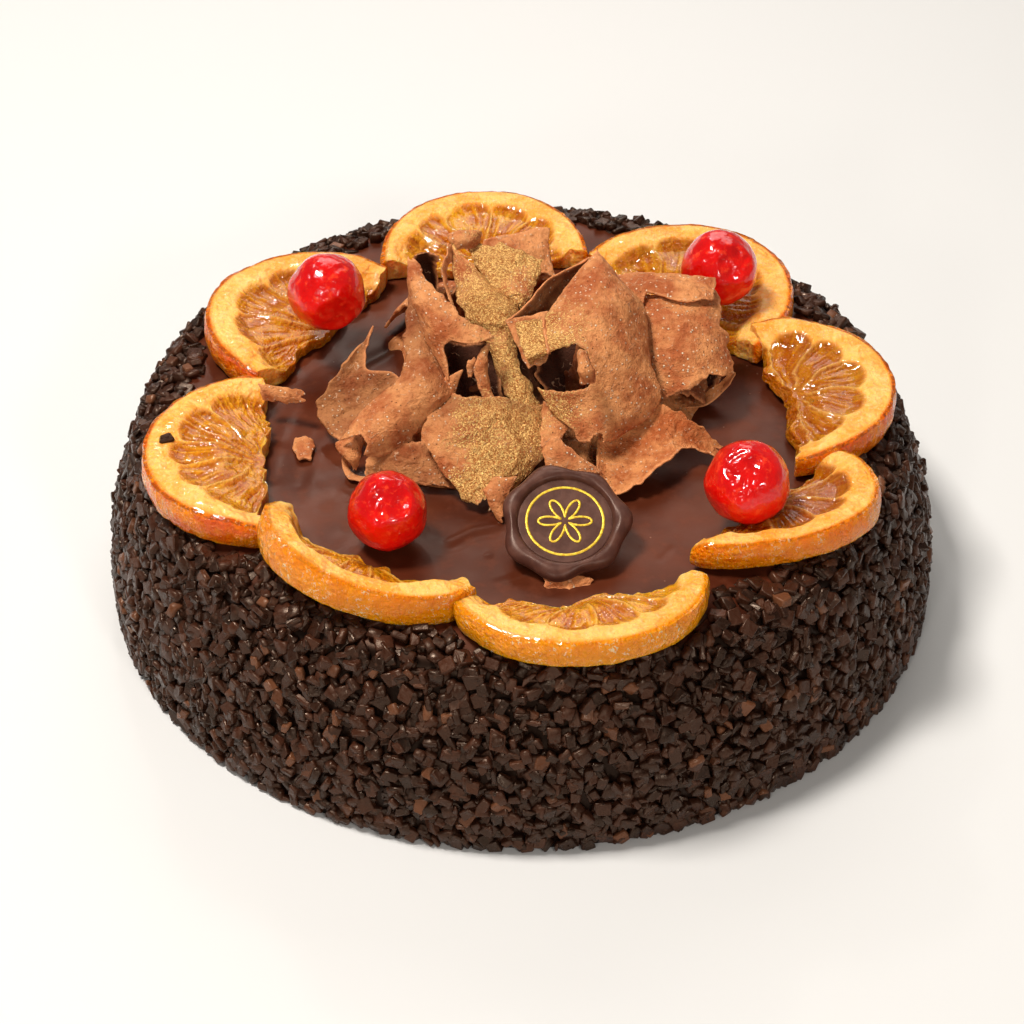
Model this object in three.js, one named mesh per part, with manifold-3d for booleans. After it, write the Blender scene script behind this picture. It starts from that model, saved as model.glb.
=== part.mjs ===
// A round chocolate cassata: a glazed cake with a coat of chocolate grains on its side, a ring of candied
// orange half slices, four candied cherries, a pile of thin chocolate shavings and a chocolate seal.
// Millimetres, +Z up. The origin is the middle of the cake's flat foot, and -Y is its front.

import * as THREE from 'three';
import { mergeVertices } from 'three/addons/utils/BufferGeometryUtils.js';
import Module from 'manifold-3d';

const wasm = await Module();
wasm.setup();

// Driving dimensions.
const footRadius = 107.7;        // glazed cake at the foot, without its grains
const glazeHeight = 51;          // flat glazed top
const sideDrop = 13;             // how much narrower the cake is at the rim than at the foot
const sidePower = 2.2;           // how late the side leans in
const rimRound = 5.5;            // rounding between the side and the top
const rimSink = 2;               // the rim under the grains lies this far below the glaze
const coatThickness = 2.5;       // grains stand this far out of the glaze
const coatTopRadius = 92;        // grains reach in to this radius on the top
const aroundCount = 110;         // grain bumps round the side
const chipCount = 40;            // larger whole grains that stand proud of the coat
const chipSize = [4.2, 3.2, 2.4];
const gap = 0.35;                // clearance between pieces that lie against each other
const shavingThickness = 1.3;
const flakeThickness = 1.4;
const cherryRelief = 0.35;
const sealRadius = 15.2;
const sealRimHeight = 3.6;
const sealDiscRadius = 11.4;

// Small helpers for numbers, random draws and solids.
const radians = THREE.MathUtils.degToRad;
const clamp = THREE.MathUtils.clamp;
const smoothstep = THREE.MathUtils.smoothstep;
const lerp = THREE.MathUtils.lerp;

function seededRandom(seed) {
  let state = seed;
  return () => {
    state = (state * 1664525 + 1013904223) % 4294967296;
    return state / 4294967296;
  };
}

function between(values, t) {
  // Reads a list of evenly spaced values at t = 0 to 1, in straight lines between them.
  const place = clamp(t, 0, 1) * (values.length - 1);
  const first = Math.min(Math.floor(place), values.length - 2);
  return lerp(values[first], values[first + 1], place - first);
}

function bare(geometry) {
  const copy = geometry.clone();
  copy.deleteAttribute('normal');
  copy.deleteAttribute('uv');
  return mergeVertices(copy, 1e-4);
}

function moveVertices(geometry, place) {
  const position = geometry.attributes.position;
  const vertex = new THREE.Vector3();
  for (let i = 0; i < position.count; i += 1) {
    vertex.fromBufferAttribute(position, i);
    const moved = place(vertex);
    position.setXYZ(i, moved.x, moved.y, moved.z);
  }
  return geometry;
}

function signedVolume(geometry) {
  const position = geometry.attributes.position;
  const index = geometry.index;
  const corner = [new THREE.Vector3(), new THREE.Vector3(), new THREE.Vector3()];
  let volume = 0;
  for (let i = 0; i < index.count; i += 3) {
    corner.forEach((point, k) => point.fromBufferAttribute(position, index.getX(i + k)));
    volume += corner[0].dot(corner[1].clone().cross(corner[2])) / 6;
  }
  return volume;
}

function toSolid(geometry) {
  const merged = bare(geometry);
  if (signedVolume(merged) < 0) {
    merged.index.array.reverse();
  }
  return new wasm.Manifold(new wasm.Mesh({
    numProp: 3,
    vertProperties: new Float32Array(merged.attributes.position.array),
    triVerts: new Uint32Array(merged.index.array),
  }));
}

function largestPiece(solid) {
  const pieces = solid.decompose();
  return pieces.reduce((best, piece) => (piece.volume() > best.volume() ? piece : best));
}

function toGeometry(solid) {
  const mesh = solid.getMesh();
  const geometry = new THREE.BufferGeometry();
  geometry.setAttribute('position', new THREE.BufferAttribute(mesh.vertProperties, 3));
  geometry.setIndex(new THREE.BufferAttribute(mesh.triVerts, 1));
  geometry.computeVertexNormals();
  return geometry;
}

// Candied orange half slices, numbered clockwise from the back. The cut side faces the middle of the cake.
// at: middle of the cut side on the underside; head: direction of the peel, in degrees from +X; sink: how far
// the flesh shrinks below the level of the pith.
const slices = [
  { at: [-10, 60, 51.5], head: 96, half: 28.5, depth: 31.5, thick: 8, tilt: 0 },
  { at: [40, 39, 51.5], head: 43, half: 31.5, depth: 35.3, thick: 8, tilt: -2 },
  { at: [65, -3.5, 53], head: 8, half: 28, depth: 30.6, thick: 8, tilt: -1, roll: 3 },
  { at: [59, -45.5, 51.8], head: 314, half: 27, depth: 23, thick: 7.6, tilt: -5, skew: -0.35 },
  { at: [13.5, -78, 51.5], head: 277, half: 30, depth: 23, thick: 7.6, tilt: -2 },
  { at: [-36, -66.3, 52.3], head: 243, half: 28, depth: 20.5, thick: 9, tilt: -10, roll: -3, twist: -12, skew: 0.2, sink: 4 },
  { at: [-64, -28, 51.5], head: 184, half: 30.5, depth: 30, thick: 8.6, tilt: 0 },
  { at: [-52, 28.5, 51.5], head: 149, half: 30, depth: 33, thick: 8, tilt: -1 },
].map((slice) => ({ roll: 0, twist: 0, skew: 0, sink: 1.3, ...slice }));
const fleshReach = 0.74;         // share of a slice's radius that is flesh

function slicePoint(slice, across, outward, level) {
  // A square grid drawn onto a half disc: across runs from -1 to 1 along the cut side, outward from 0 at the
  // cut to 1 at the peel, and level from 0 underneath to 1 on top.
  const x = across * Math.sqrt(1 - (outward * outward) / 2);
  const y = outward * Math.sqrt(1 - (across * across) / 2) * (1 + slice.skew * x);
  const radius = Math.hypot(x, y);
  const ragged = 0.03 * Math.sin(9 * across + slice.head) * (1 - outward);
  const flesh = 1 - smoothstep(radius, fleshReach - 0.1, fleshReach + 0.04);
  const edge = smoothstep(radius, 0.9, 1);
  const z = level * (slice.thick - slice.sink * flesh - 0.8 * edge) + (1 - level) * 0.5 * edge;
  const tilt = radians(slice.tilt + slice.twist * x);
  const roll = radians(slice.roll);
  const out = (y + ragged) * slice.depth;
  const point = new THREE.Vector3(
    x * slice.half,
    out * Math.cos(tilt) + z * Math.sin(tilt),
    z * Math.cos(tilt) - out * Math.sin(tilt),
  );
  point.applyAxisAngle(new THREE.Vector3(0, 1, 0), roll);
  point.applyAxisAngle(new THREE.Vector3(0, 0, 1), radians(slice.head - 90));
  return point.add(new THREE.Vector3(...slice.at));
}

function sliceSolid(slice, grow = 0) {
  const geometry = bare(new THREE.BoxGeometry(2, 1, 1, 10, 5, 1));
  const head = radians(slice.head);
  const grown = {
    ...slice,
    at: [slice.at[0] - 2 * grow * Math.cos(head), slice.at[1] - 2 * grow * Math.sin(head), slice.at[2] - grow],
    half: slice.half + 2 * grow,
    depth: slice.depth + 3 * grow,
    thick: slice.thick + 2 * grow,
  };
  moveVertices(geometry, (v) => slicePoint(grown, -v.x, v.y + 0.5, v.z + 0.5));
  return toSolid(geometry);
}

// Candied cherries: uneven balls with a dimple where the stone came out.
const cherries = [
  { at: [-51, 24.2, 69.8], radius: 10.2, dimple: [0.25, -0.75, -0.1] },
  { at: [-32.1, -55.5, 61.1], radius: 9.6, dimple: [0.1, -0.5, 0.7] },
  { at: [54.2, -49.2, 64.8], radius: 10.3, dimple: [-0.2, -0.5, 0.8] },
  { at: [52.9, 35.6, 69.8], radius: 10.1, dimple: [0.3, -0.6, 0.5] },
];

function cherrySolid(cherry, grow = 0) {
  const geometry = bare(new THREE.IcosahedronGeometry(1, 2));
  const dimple = new THREE.Vector3(...cherry.dimple).normalize();
  moveVertices(geometry, (v) => {
    const facing = v.clone().normalize().dot(dimple);
    const dent = 1.1 * smoothstep(facing, 0.86, 1);
    const uneven = cherryRelief * Math.sin(4 * v.x + 3 * v.z) * Math.cos(3 * v.y);
    const radius = cherry.radius - cherryRelief + uneven - dent + grow;
    return v.clone().multiplyScalar(radius).add(new THREE.Vector3(...cherry.at));
  });
  return toSolid(geometry);
}

// Chocolate shavings. Each is a thin sheet laid over a path, which is its ridge, from its top end to its low end.
// left and right are the widths on each side of the ridge along the path, as seen by someone who looks along
// `outside` at the sheet, bendLeft and bendRight say how far each side turns away from the ridge, in degrees,
// face turns the whole sheet about its path, top and bottom cut its ends across from left to right, as shares
// of its length, and late above 1 keeps a side flat first and rolls it at its edge.
const front = [0, -0.6, 0.8];
const rear = [0, 0.6, 0.8];
const plainSheet = {
  bendLeft: [20, 20],
  bendRight: [20, 20],
  face: [0, 0],
  top: [0, 0],
  bottom: [0, 0],
  late: 1,
  outside: front,
};
const shavings = {
  cone_left: {
    path: [[-28, 12.5, 88.5], [-21, -1, 84.5], [-14, -15.5, 80]],
    left: [1, 8, 15], right: [1, 6.5, 11], bendLeft: [50, 100], bendRight: [50, 70], bottom: [-0.35, 0.12, 0],
  },
  cone_right: {
    path: [[20.5, 14.5, 88.5], [19.5, -2, 83.5], [22, -17, 77.5], [24, -27.5, 67]],
    left: [0.6, 28, 44, 44], right: [0.6, 14, 13.5, 11.5], bendLeft: [120, 160, 170, 170], bendRight: [30, 60, 60, 50],
    bottom: [0.58, 0.59, 0.6, 0.6, 0.57, 0.54, 0.3, 0, 0, 0, 0, 0, 0, 0, 0.03, 0.08, 0.14], grid: [12, 6],
  },
  band: {
    path: [[-28, 14.5, 85], [-26, -3, 77], [-27, -19, 70.5], [-41, -27, 59]],
    left: [2, 4, 9, 10], right: [3, 8, 10, 9], bendLeft: [60, 70], bendRight: [30, 30], face: [0, -20],
    bottom: [0, 0.05, 0.1],
  },
  flap: {
    path: [[18, 18.5, 83.5], [7, 10, 79.5], [0, 0, 77], [1.5, -12, 74]],
    left: [1, 9, 8, 2], right: [1, 5, 4, 2], bendLeft: [-60, -60], bendRight: [-20, -30], face: [-10, 0],
  },
  torn_strip: {
    path: [[-11, -8, 77], [-10, -17.5, 71.5], [-8.5, -26, 70.5]],
    left: [2.5, 2, 0.8], right: [1.2, 1.6, 0.8], bendLeft: [-60, -60], bendRight: [40, 40],
  },
  gold_square: {
    path: [[2, -5.5, 80.5], [3, -11, 78.5], [4, -16.5, 77]], left: [4.5, 4, 2.5], right: [4.5, 4, 3.5],
  },
  gold_leaf: {
    path: [[-3, 23.5, 81.5], [-1, 15.5, 78], [0, 7, 73.5]],
    left: [10, 9, 2], right: [9, 6, 1], bendLeft: [-20, -30], bendRight: [30, 40], top: [-0.1, 0.1],
  },
  centre: {
    path: [[-15.5, 27.5, 85.5], [-12.5, 17, 78.5], [-7.5, 4, 72], [-1, -15, 63]],
    left: [3, 6, 9, 8], right: [4, 7, 7, 7], bendRight: [20, 30],
  },
  back_top: {
    path: [[-2.5, 36, 80.5], [-0.5, 27.5, 77.5], [2, 16, 73]],
    left: [10, 10, 8], right: [10, 9, 6], bendLeft: [10, 10], bendRight: [10, 20], top: [0.1, 0],
  },
  sliver: {
    path: [[-18.5, 20, 87], [-20, 12, 83.5], [-18, 6, 78]],
    left: [1, 1.5, 1], right: [1, 1, 1], bendLeft: [0, 0], bendRight: [0, 0], face: [60, 60],
  },
  pillow: {
    path: [[38.5, 22, 75], [39, 2, 73.5], [41, -19, 69]],
    left: [13, 10, 9], right: [20, 22, 26], bendLeft: [20, 60], bendRight: [160, 200], bottom: [-0.05, 0, 0.05, 0.1],
    late: 2.2,
  },
  pillow_fold: {
    path: [[27, 18.5, 77.5], [37.5, 17.5, 77], [50, 17, 75]],
    left: [3, 4, 3], right: [5, 6, 4], bendLeft: [90, 120],
  },
  apron: {
    path: [[-3, -18, 68], [-5.5, -30, 64], [-11.5, -43, 55]],
    left: [11, 22, 3], right: [11, 15, 4], bendLeft: [20, 30], bendRight: [25, 30],
  },
  lower_lip: {
    path: [[11.5, -17.5, 71], [13, -26.5, 68.5], [18, -32.5, 62]],
    left: [11, 8, 5], right: [10, 12, 8], bendLeft: [30, 30], bendRight: [20, 30], top: [0.25, 0.1, -0.05, -0.1, 0],
  },
  right_sheet: {
    path: [[50.5, -22.5, 53], [36.5, -28, 63], [26, -34.5, 63.5], [21.5, -39, 56]],
    left: [1, 7, 9, 5], right: [1, 6, 10, 6], bendLeft: [30, 40], bendRight: [30, 50],
  },
  left_leaf: {
    path: [[-38.5, 3, 70], [-41, -7.5, 62.5], [-40, -20, 58]],
    left: [1, 9, 9], right: [1, 12, 11], bendLeft: [-50, -50], bendRight: [-10, -10],
  },
  left_low: {
    path: [[-30.5, -24.5, 57], [-28.5, -32.5, 55.5], [-27, -36.5, 52.8]], left: [10, 14, 8], right: [4, 14, 14],
  },
  front_low: {
    path: [[14.5, -21.5, 61], [12.5, -28.5, 58.5], [12.5, -34, 55]], left: [6, 8, 6], right: [8, 8, 7],
  },
  under_middle: {
    path: [[-1, 14, 63], [-1, -2, 59], [0, -13, 54.5]],
    left: [10, 13, 12], right: [9, 11, 11], bendLeft: [40, 50], bendRight: [40, 40],
  },
  under_left: {
    path: [[-21, 12, 68], [-23, 2, 63], [-26, -12, 57]],
    left: [4, 6, 6], right: [10, 13, 12], bendLeft: [40, 60], bendRight: [30, 40],
  },
  under_right: {
    path: [[36, 15, 67], [36, 4, 64], [37, -7, 59]],
    left: [13, 14, 13], right: [10, 14, 13], bendLeft: [50, 60], bendRight: [50, 60],
  },
  rear_left: {
    path: [[-14, 20, 73], [-21, 30, 65], [-28, 39, 53.5]],
    left: [4, 12, 14], right: [4, 12, 12], bendLeft: [50, 60], bendRight: [50, 60], outside: rear,
  },
  rear_right: {
    path: [[18, 18, 72], [23, 30, 64], [27, 40, 53.5]],
    left: [4, 12, 13], right: [4, 13, 12], bendLeft: [50, 60], bendRight: [40, 70], outside: rear,
  },
  rear_middle: {
    path: [[4, 24, 69], [2, 35, 61], [-3, 45, 54]],
    left: [6, 9, 8], right: [8, 10, 7], bendLeft: [-30, -40], bendRight: [30, 40], outside: rear,
  },
};

function alongPath(curve, t) {
  // The path, carried on straight beyond its ends.
  const inside = clamp(t, 0, 1);
  const slope = curve.getPoint(Math.min(inside + 0.005, 1)).sub(curve.getPoint(Math.max(inside - 0.005, 0)));
  slope.divideScalar(Math.min(inside + 0.005, 1) - Math.max(inside - 0.005, 0));
  return { point: curve.getPoint(inside).addScaledVector(slope, t - inside), tangent: slope.normalize() };
}

function sheetPoint(sheet, curve, side, down, grow) {
  // side runs from -1 at the left edge to 1 at the right edge, down from 0 at the top end to 1 at the low end.
  // Each half of the section leaves the ridge level and turns by bend * s^late at share s of its width.
  const tear = 0.03 * Math.sin(5 * side + sheet.path[0][0]);
  const start = between(sheet.top, (side + 1) / 2) + tear;
  const end = 1 - between(sheet.bottom, (side + 1) / 2) + tear;
  const t = lerp(start, end, down);
  const { point, tangent } = alongPath(curve, t);
  const normal = new THREE.Vector3(...sheet.outside);
  normal.addScaledVector(tangent, -normal.dot(tangent)).normalize();
  normal.applyAxisAngle(tangent, -radians(between(sheet.face, t)));
  const across = normal.clone().cross(tangent);
  const wave = 1 + 0.06 * Math.sin(9 * t + sheet.path[0][1]);
  const width = between(side < 0 ? sheet.left : sheet.right, t) * wave + grow;
  const bend = radians(between(side < 0 ? sheet.bendLeft : sheet.bendRight, t));
  const steps = 16;
  const step = Math.abs(side) / steps;
  for (let k = 0; k < steps; k += 1) {
    const turn = bend * ((k + 0.5) * step) ** sheet.late;
    point.addScaledVector(across, Math.sign(side) * width * Math.cos(turn) * step);
    point.addScaledVector(normal, -width * Math.sin(turn) * step);
  }
  return point;
}

function sheetSolid(sheet, thickness, grow, segments) {
  // A box one segment thick is laid over the sheet; its thickness follows the sheet's own normal.
  const curve = new THREE.CatmullRomCurve3(sheet.path.map((p) => new THREE.Vector3(...p)), false, 'catmullrom', 0.5);
  const length = curve.getLength();
  const at = (side, down) => sheetPoint(sheet, curve, side, down, grow);
  const geometry = bare(new THREE.BoxGeometry(2, 1, 1, segments[0], segments[1], 1));
  moveVertices(geometry, (v) => {
    const down = 0.5 - v.y * (1 + (2 * grow) / length);
    const acrossStep = at(v.x + 0.02, down).sub(at(v.x - 0.02, down));
    const downStep = at(v.x, down + 0.02).sub(at(v.x, down - 0.02));
    const normal = acrossStep.cross(downStep).normalize();
    return at(v.x, down).addScaledVector(normal, v.z * (thickness + 2 * grow));
  });
  return toSolid(geometry);
}

function shavingSolid(sheet, grow = 0) {
  const widest = Math.max(...sheet.left, ...sheet.right);
  const segments = sheet.grid ?? (widest > 10 ? [8, 5] : [5, 4]);
  return sheetSolid({ ...plainSheet, ...sheet }, shavingThickness, grow, segments);
}

// Loose flakes: two lie on the glaze and one on an orange slice.
const glazeFlakes = [
  { path: [[-55, -15, 51.6], [-55, -24, 51.6]], left: [2.5, 3, 1.5], right: [1.5, 2, 2] },
  { path: [[5, -71, 51.6], [16, -70, 51.6]], left: [1, 2.5, 1.5], right: [1.5, 2, 1] },
];
const sliceFlake = { path: [[-67, -7, 59.9], [-55, -9, 60.3]], left: [1.5, 2.5, 1], right: [2, 2.5, 1] };

function flakeSolid(flake) {
  return sheetSolid({ ...plainSheet, ...flake }, flakeThickness, 0, [4, 3]);
}

// The cake: a lathe turned body whose coat is relief at the size of the grains, with the larger grains fused on.
function sideRadius(z) {
  return footRadius - sideDrop * (z / glazeHeight) ** sidePower;
}

function bodyProfile() {
  const rows = 11;
  const shoulder = glazeHeight - rimRound - rimSink;
  const points = [new THREE.Vector2(0, 0)];
  for (let k = 0; k <= rows; k += 1) {
    const z = (shoulder * k) / rows;
    points.push(new THREE.Vector2(sideRadius(z), z));
  }
  const rimCentre = sideRadius(shoulder) - rimRound;
  for (const angle of [30, 60, 90]) {
    points.push(new THREE.Vector2(
      rimCentre + rimRound * Math.cos(radians(angle)),
      shoulder + rimRound * Math.sin(radians(angle)),
    ));
  }
  points.push(new THREE.Vector2(coatTopRadius - 1.5, glazeHeight - 0.6));
  points.push(new THREE.Vector2(coatTopRadius - 4, glazeHeight));
  points.push(new THREE.Vector2(0, glazeHeight));
  return points;
}

function cakeBody() {
  const profile = bodyProfile();
  const geometry = new THREE.LatheGeometry(profile, aroundCount);
  const draws = seededRandom(7);
  const bumps = profile.map(() => Array.from({ length: aroundCount }, draws));
  const merged = bare(geometry);
  moveVertices(merged, (v) => {
    const radius = Math.hypot(v.x, v.z);
    const turn = (Math.atan2(v.z, v.x) / (2 * Math.PI) + 1) % 1;
    const column = Math.round(turn * aroundCount) % aroundCount;
    const row = profile.findIndex((p) => Math.abs(p.y - v.y) < 1e-3 && Math.abs(p.x - radius) < 1e-3);
    const height = v.y;
    const coated = row > 1 && radius > coatTopRadius - 1;
    const bump = coated ? coatThickness * (0.15 + 0.85 * Math.sqrt(bumps[row][column])) : 0;
    const lean = smoothstep(height, glazeHeight - rimRound - rimSink, glazeHeight - rimSink) * (Math.PI / 2);
    const reach = radius < 1e-6 ? 0 : (radius + bump * Math.cos(lean)) / radius;
    return new THREE.Vector3(v.x * reach, -v.z * reach, height + bump * Math.sin(lean));
  });
  return toSolid(merged);
}

function chipSolid(number, random) {
  // Chips follow a golden spiral, which spreads them evenly over the side.
  const share = (number + 0.5) / chipCount;
  const z = 3.2 + share * (glazeHeight - rimRound - 5.2);
  const turn = number * Math.PI * (3 - Math.sqrt(5));
  const radius = sideRadius(z) + coatThickness * 0.6;
  const [length, width, height] = chipSize;
  const chip = bare(new THREE.BoxGeometry(length, width, height));
  moveVertices(chip, (v) => v.clone().multiplyScalar(0.85 + 0.3 * random()));
  chip.rotateX(random() * 1.2 - 0.6);
  chip.rotateZ(random() * Math.PI);
  chip.rotateY(Math.PI / 2 + random() * 0.7 - 0.35);
  chip.translate(radius, 0, z);
  chip.rotateZ(turn);
  return toSolid(chip);
}

function cakeSolid() {
  const random = seededRandom(21);
  let cake = cakeBody();
  for (let number = 0; number < chipCount; number += 1) {
    cake = cake.add(chipSolid(number, random));
  }
  for (const flake of glazeFlakes) {
    cake = cake.add(flakeSolid(flake));
  }
  return largestPiece(cake);
}

// The seal: a round of dark chocolate pressed with a die, so its rim swells out in lobes. It leans on the pile.
function sealSolid() {
  const profile = [
    [0, 0], [sealRadius - 1.2, 0], [sealRadius, 1.2], [sealRadius - 0.6, sealRimHeight - 0.6],
    [sealRadius - 2, sealRimHeight], [sealDiscRadius + 0.5, sealRimHeight - 0.3], [sealDiscRadius, sealRimHeight - 1.4],
    [0, sealRimHeight - 1.4],
  ].map(([x, y]) => new THREE.Vector2(x, y));
  const geometry = bare(new THREE.LatheGeometry(profile, 30));
  moveVertices(geometry, (v) => {
    const radius = Math.hypot(v.x, v.z);
    const turn = Math.atan2(v.z, v.x);
    const rim = smoothstep(radius, sealDiscRadius, sealRadius);
    const lobe = 1 + rim * (0.045 * Math.cos(7 * turn + 0.6) + 0.03 * Math.cos(3 * turn));
    return new THREE.Vector3(v.x * lobe, -v.z * lobe, v.y);
  });
  geometry.rotateX(radians(21));
  geometry.translate(10.2, -56.4, 57.2);
  return toSolid(geometry);
}

// Every piece is trimmed where it would touch the pieces that were there before it.
const placed = [];
const glazeClearance = toSolid(new THREE.CylinderGeometry(footRadius, footRadius, 20, 24).rotateX(Math.PI / 2))
  .translate([0, 0, glazeHeight + gap - 10]);

function place(name, material, solid, grown) {
  let fitted = name === 'cake' ? solid : solid.subtract(glazeClearance);
  for (const other of placed) {
    fitted = fitted.subtract(other.grown);
  }
  placed.push({ name, material, solid: largestPiece(fitted), grown });
}

const glaze = new THREE.MeshStandardMaterial({ color: 0x4a2c22, roughness: 0.45, metalness: 0 });
const peel = new THREE.MeshStandardMaterial({ color: 0xe8a030, roughness: 0.25, metalness: 0 });
const cherryRed = new THREE.MeshStandardMaterial({ color: 0xc81414, roughness: 0.12, metalness: 0 });
const milkChocolate = new THREE.MeshStandardMaterial({ color: 0xa5674a, roughness: 0.7, metalness: 0 });
const darkChocolate = new THREE.MeshStandardMaterial({ color: 0x46291f, roughness: 0.35, metalness: 0 });

cherries.forEach((cherry, k) => {
  place(`cherry_${k + 1}`, cherryRed, cherrySolid(cherry), cherrySolid(cherry, gap));
});
const sealGrown = sealSolid().add(sealSolid().translate([0, 0, gap])).add(sealSolid().translate([0, gap, -gap]));
place('chocolate_seal', darkChocolate, sealSolid(), sealGrown);
const sliceOrder = [5, 2, 4, 3, 6, 1, 7, 0];
sliceOrder.forEach((k) => {
  const solid = k === 6 ? sliceSolid(slices[k]).add(flakeSolid(sliceFlake)) : sliceSolid(slices[k]);
  place(`orange_slice_${k + 1}`, peel, solid, sliceSolid(slices[k], gap));
});
for (const [name, sheet] of Object.entries(shavings)) {
  place(`shaving_${name}`, milkChocolate, shavingSolid(sheet), shavingSolid(sheet, gap));
}
place('cake', glaze, cakeSolid(), cakeBody());

const group = new THREE.Group();
for (const piece of placed) {
  const mesh = new THREE.Mesh(toGeometry(piece.solid), piece.material.clone());
  mesh.name = piece.name;
  group.add(mesh);
}

export default group;
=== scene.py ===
import math

import bpy
import numpy as np
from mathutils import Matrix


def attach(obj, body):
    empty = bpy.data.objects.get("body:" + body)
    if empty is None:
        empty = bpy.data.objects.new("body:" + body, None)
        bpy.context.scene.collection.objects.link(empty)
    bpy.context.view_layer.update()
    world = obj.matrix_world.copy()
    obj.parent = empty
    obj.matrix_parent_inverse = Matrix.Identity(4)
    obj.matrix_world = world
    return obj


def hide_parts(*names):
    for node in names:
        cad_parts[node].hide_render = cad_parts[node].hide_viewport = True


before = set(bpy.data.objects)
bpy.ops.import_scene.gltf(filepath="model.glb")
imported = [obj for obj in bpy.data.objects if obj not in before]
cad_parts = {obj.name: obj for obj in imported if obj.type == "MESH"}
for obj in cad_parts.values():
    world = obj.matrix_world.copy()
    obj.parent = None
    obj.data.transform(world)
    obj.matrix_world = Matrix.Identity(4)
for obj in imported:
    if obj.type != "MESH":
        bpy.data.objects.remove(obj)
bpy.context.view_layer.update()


# Floor, light and camera. The cake stands on a plain pale floor under soft lamps, the brightest from the left,
# with faint light from all round; the camera looks down on it from the front.
def show(name, kind_data):
    """Adds an object with this data to the scene."""
    thing = bpy.data.objects.new(name, kind_data)
    bpy.context.scene.collection.objects.link(thing)
    return thing


def tint(red, green, blue):
    """Colour from 0 to 255 as a screen shows it, turned into the linear light that a shader takes."""
    part = np.array([red, green, blue]) / 255
    light = np.where(part <= 0.04045, part / 12.92, ((part + 0.055) / 1.055) ** 2.4)
    return (*light.tolist(), 1.0)


scene = bpy.context.scene
scene.view_settings.view_transform = "Standard"
scene.cycles.max_bounces = 6
scene.cycles.diffuse_bounces = 3
scene.cycles.glossy_bounces = 2

camera = show("camera", bpy.data.cameras.new("camera"))
camera.data.lens = 83.94
camera.data.sensor_width = 36
camera.data.clip_start = 0.01
camera.location = (-0.00245, -0.49588, 0.42356)
camera.rotation_euler = (math.radians(90 - 39.491), 0, 0)
scene.camera = camera

world = bpy.data.worlds.new("soft_room")
world.use_nodes = True
room_light = world.node_tree.nodes["Background"]
room_light.inputs["Color"].default_value = (1.0, 0.985, 0.965, 1)
room_light.inputs["Strength"].default_value = 0.17
scene.world = world


lamp_aim = np.array([0, 0, 0.03])


def soft_lamp(name, place, size, watts, shine=1.0):
    """A square lamp at place, in metres, that faces the middle of the cake; shine scales its reflection."""
    lamp = show(name, bpy.data.lights.new(name, "AREA"))
    lamp.data.shape = "SQUARE"
    lamp.data.size = size
    lamp.data.energy = watts
    lamp.data.specular_factor = shine
    lamp.data.color = (1.0, 0.985, 0.96)
    lamp.location = place
    away = np.array(place) - lamp_aim
    flat = math.hypot(away[0], away[1])
    lamp.rotation_euler = (math.atan2(flat, away[2]), 0, math.atan2(away[0], -away[1]))


soft_lamp("lamp_left", (-0.42, 0.0, 1.1), 0.24, 15.0)
soft_lamp("lamp_behind", (0.15, 1.1, 0.95), 0.8, 5.0, 0.06)
soft_lamp("lamp_spark", (-0.2, 0.9, 0.85), 0.09, 1.1, 1.0)
soft_lamp("lamp_low", (-0.3, -1.0, 0.5), 0.1, 1.9)
soft_lamp("lamp_front", (0.5, -1.0, 0.7), 0.15, 3.7)

floor_mesh = bpy.data.meshes.new("floor")
floor_mesh.from_pydata([(-4, -4, 0), (4, -4, 0), (4, 4, 0), (-4, 4, 0)], [], [(0, 1, 2, 3)])
floor = show("floor", floor_mesh)
floor_paint = bpy.data.materials.new("pale_floor")
floor_paint.use_nodes = True
floor_shader = floor_paint.node_tree.nodes["Principled BSDF"]
floor_shader.inputs["Base Color"].default_value = tint(216, 212, 207)
floor_shader.inputs["Roughness"].default_value = 0.6
floor_mesh.materials.append(floor_paint)


# The glazed cake: layers filled with ricotta and cream, set in a round tin and covered with poured dark
# chocolate, smoothed on top with a spatula. Under the grains its side leans in towards a rounded rim.
def random_field(points, size, seed):
    """Value noise, -1 to 1: random numbers at the corners of cubes of this size, eased between the corners."""
    table = np.random.default_rng(seed).uniform(-1, 1, 8192)
    cell = points / size
    base = np.floor(cell).astype(np.int64)
    part = cell - base
    part = part * part * (3 - 2 * part)
    total = np.zeros(points.shape[:-1])
    for corner in np.ndindex(2, 2, 2):
        at = base + np.array(corner)
        key = (at[..., 0] * 73856093 ^ at[..., 1] * 19349663 ^ at[..., 2] * 83492791) % 8192
        total += table[key] * np.where(corner, part, 1 - part).prod(axis=-1)
    return total


def ease(value, low, high):
    """0 below low, 1 above high, and a smooth step between."""
    share = np.clip((value - low) / (high - low), 0, 1)
    return share * share * (3 - 2 * share)


def all_round(count):
    """Turns spread evenly over the full circle."""
    return np.linspace(0, 2 * np.pi, count, endpoint=False)


def round_points(radius, turn, height):
    """Points at this distance from the upright axis, at this turn and this height."""
    return np.stack(np.broadcast_arrays(radius * np.cos(turn), radius * np.sin(turn), height), -1)


def grid_faces(rows, columns, wrap=False):
    """The four corners of each face between neighbours in a grid; wrap joins the last column to the first."""
    row, column = np.meshgrid(np.arange(rows - 1), np.arange(columns if wrap else columns - 1), indexing="ij")
    after = (column + 1) % columns
    here, below = row * columns, (row + 1) * columns
    return np.stack([here + column, here + after, below + after, below + column], -1).reshape(-1, 4)


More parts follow.
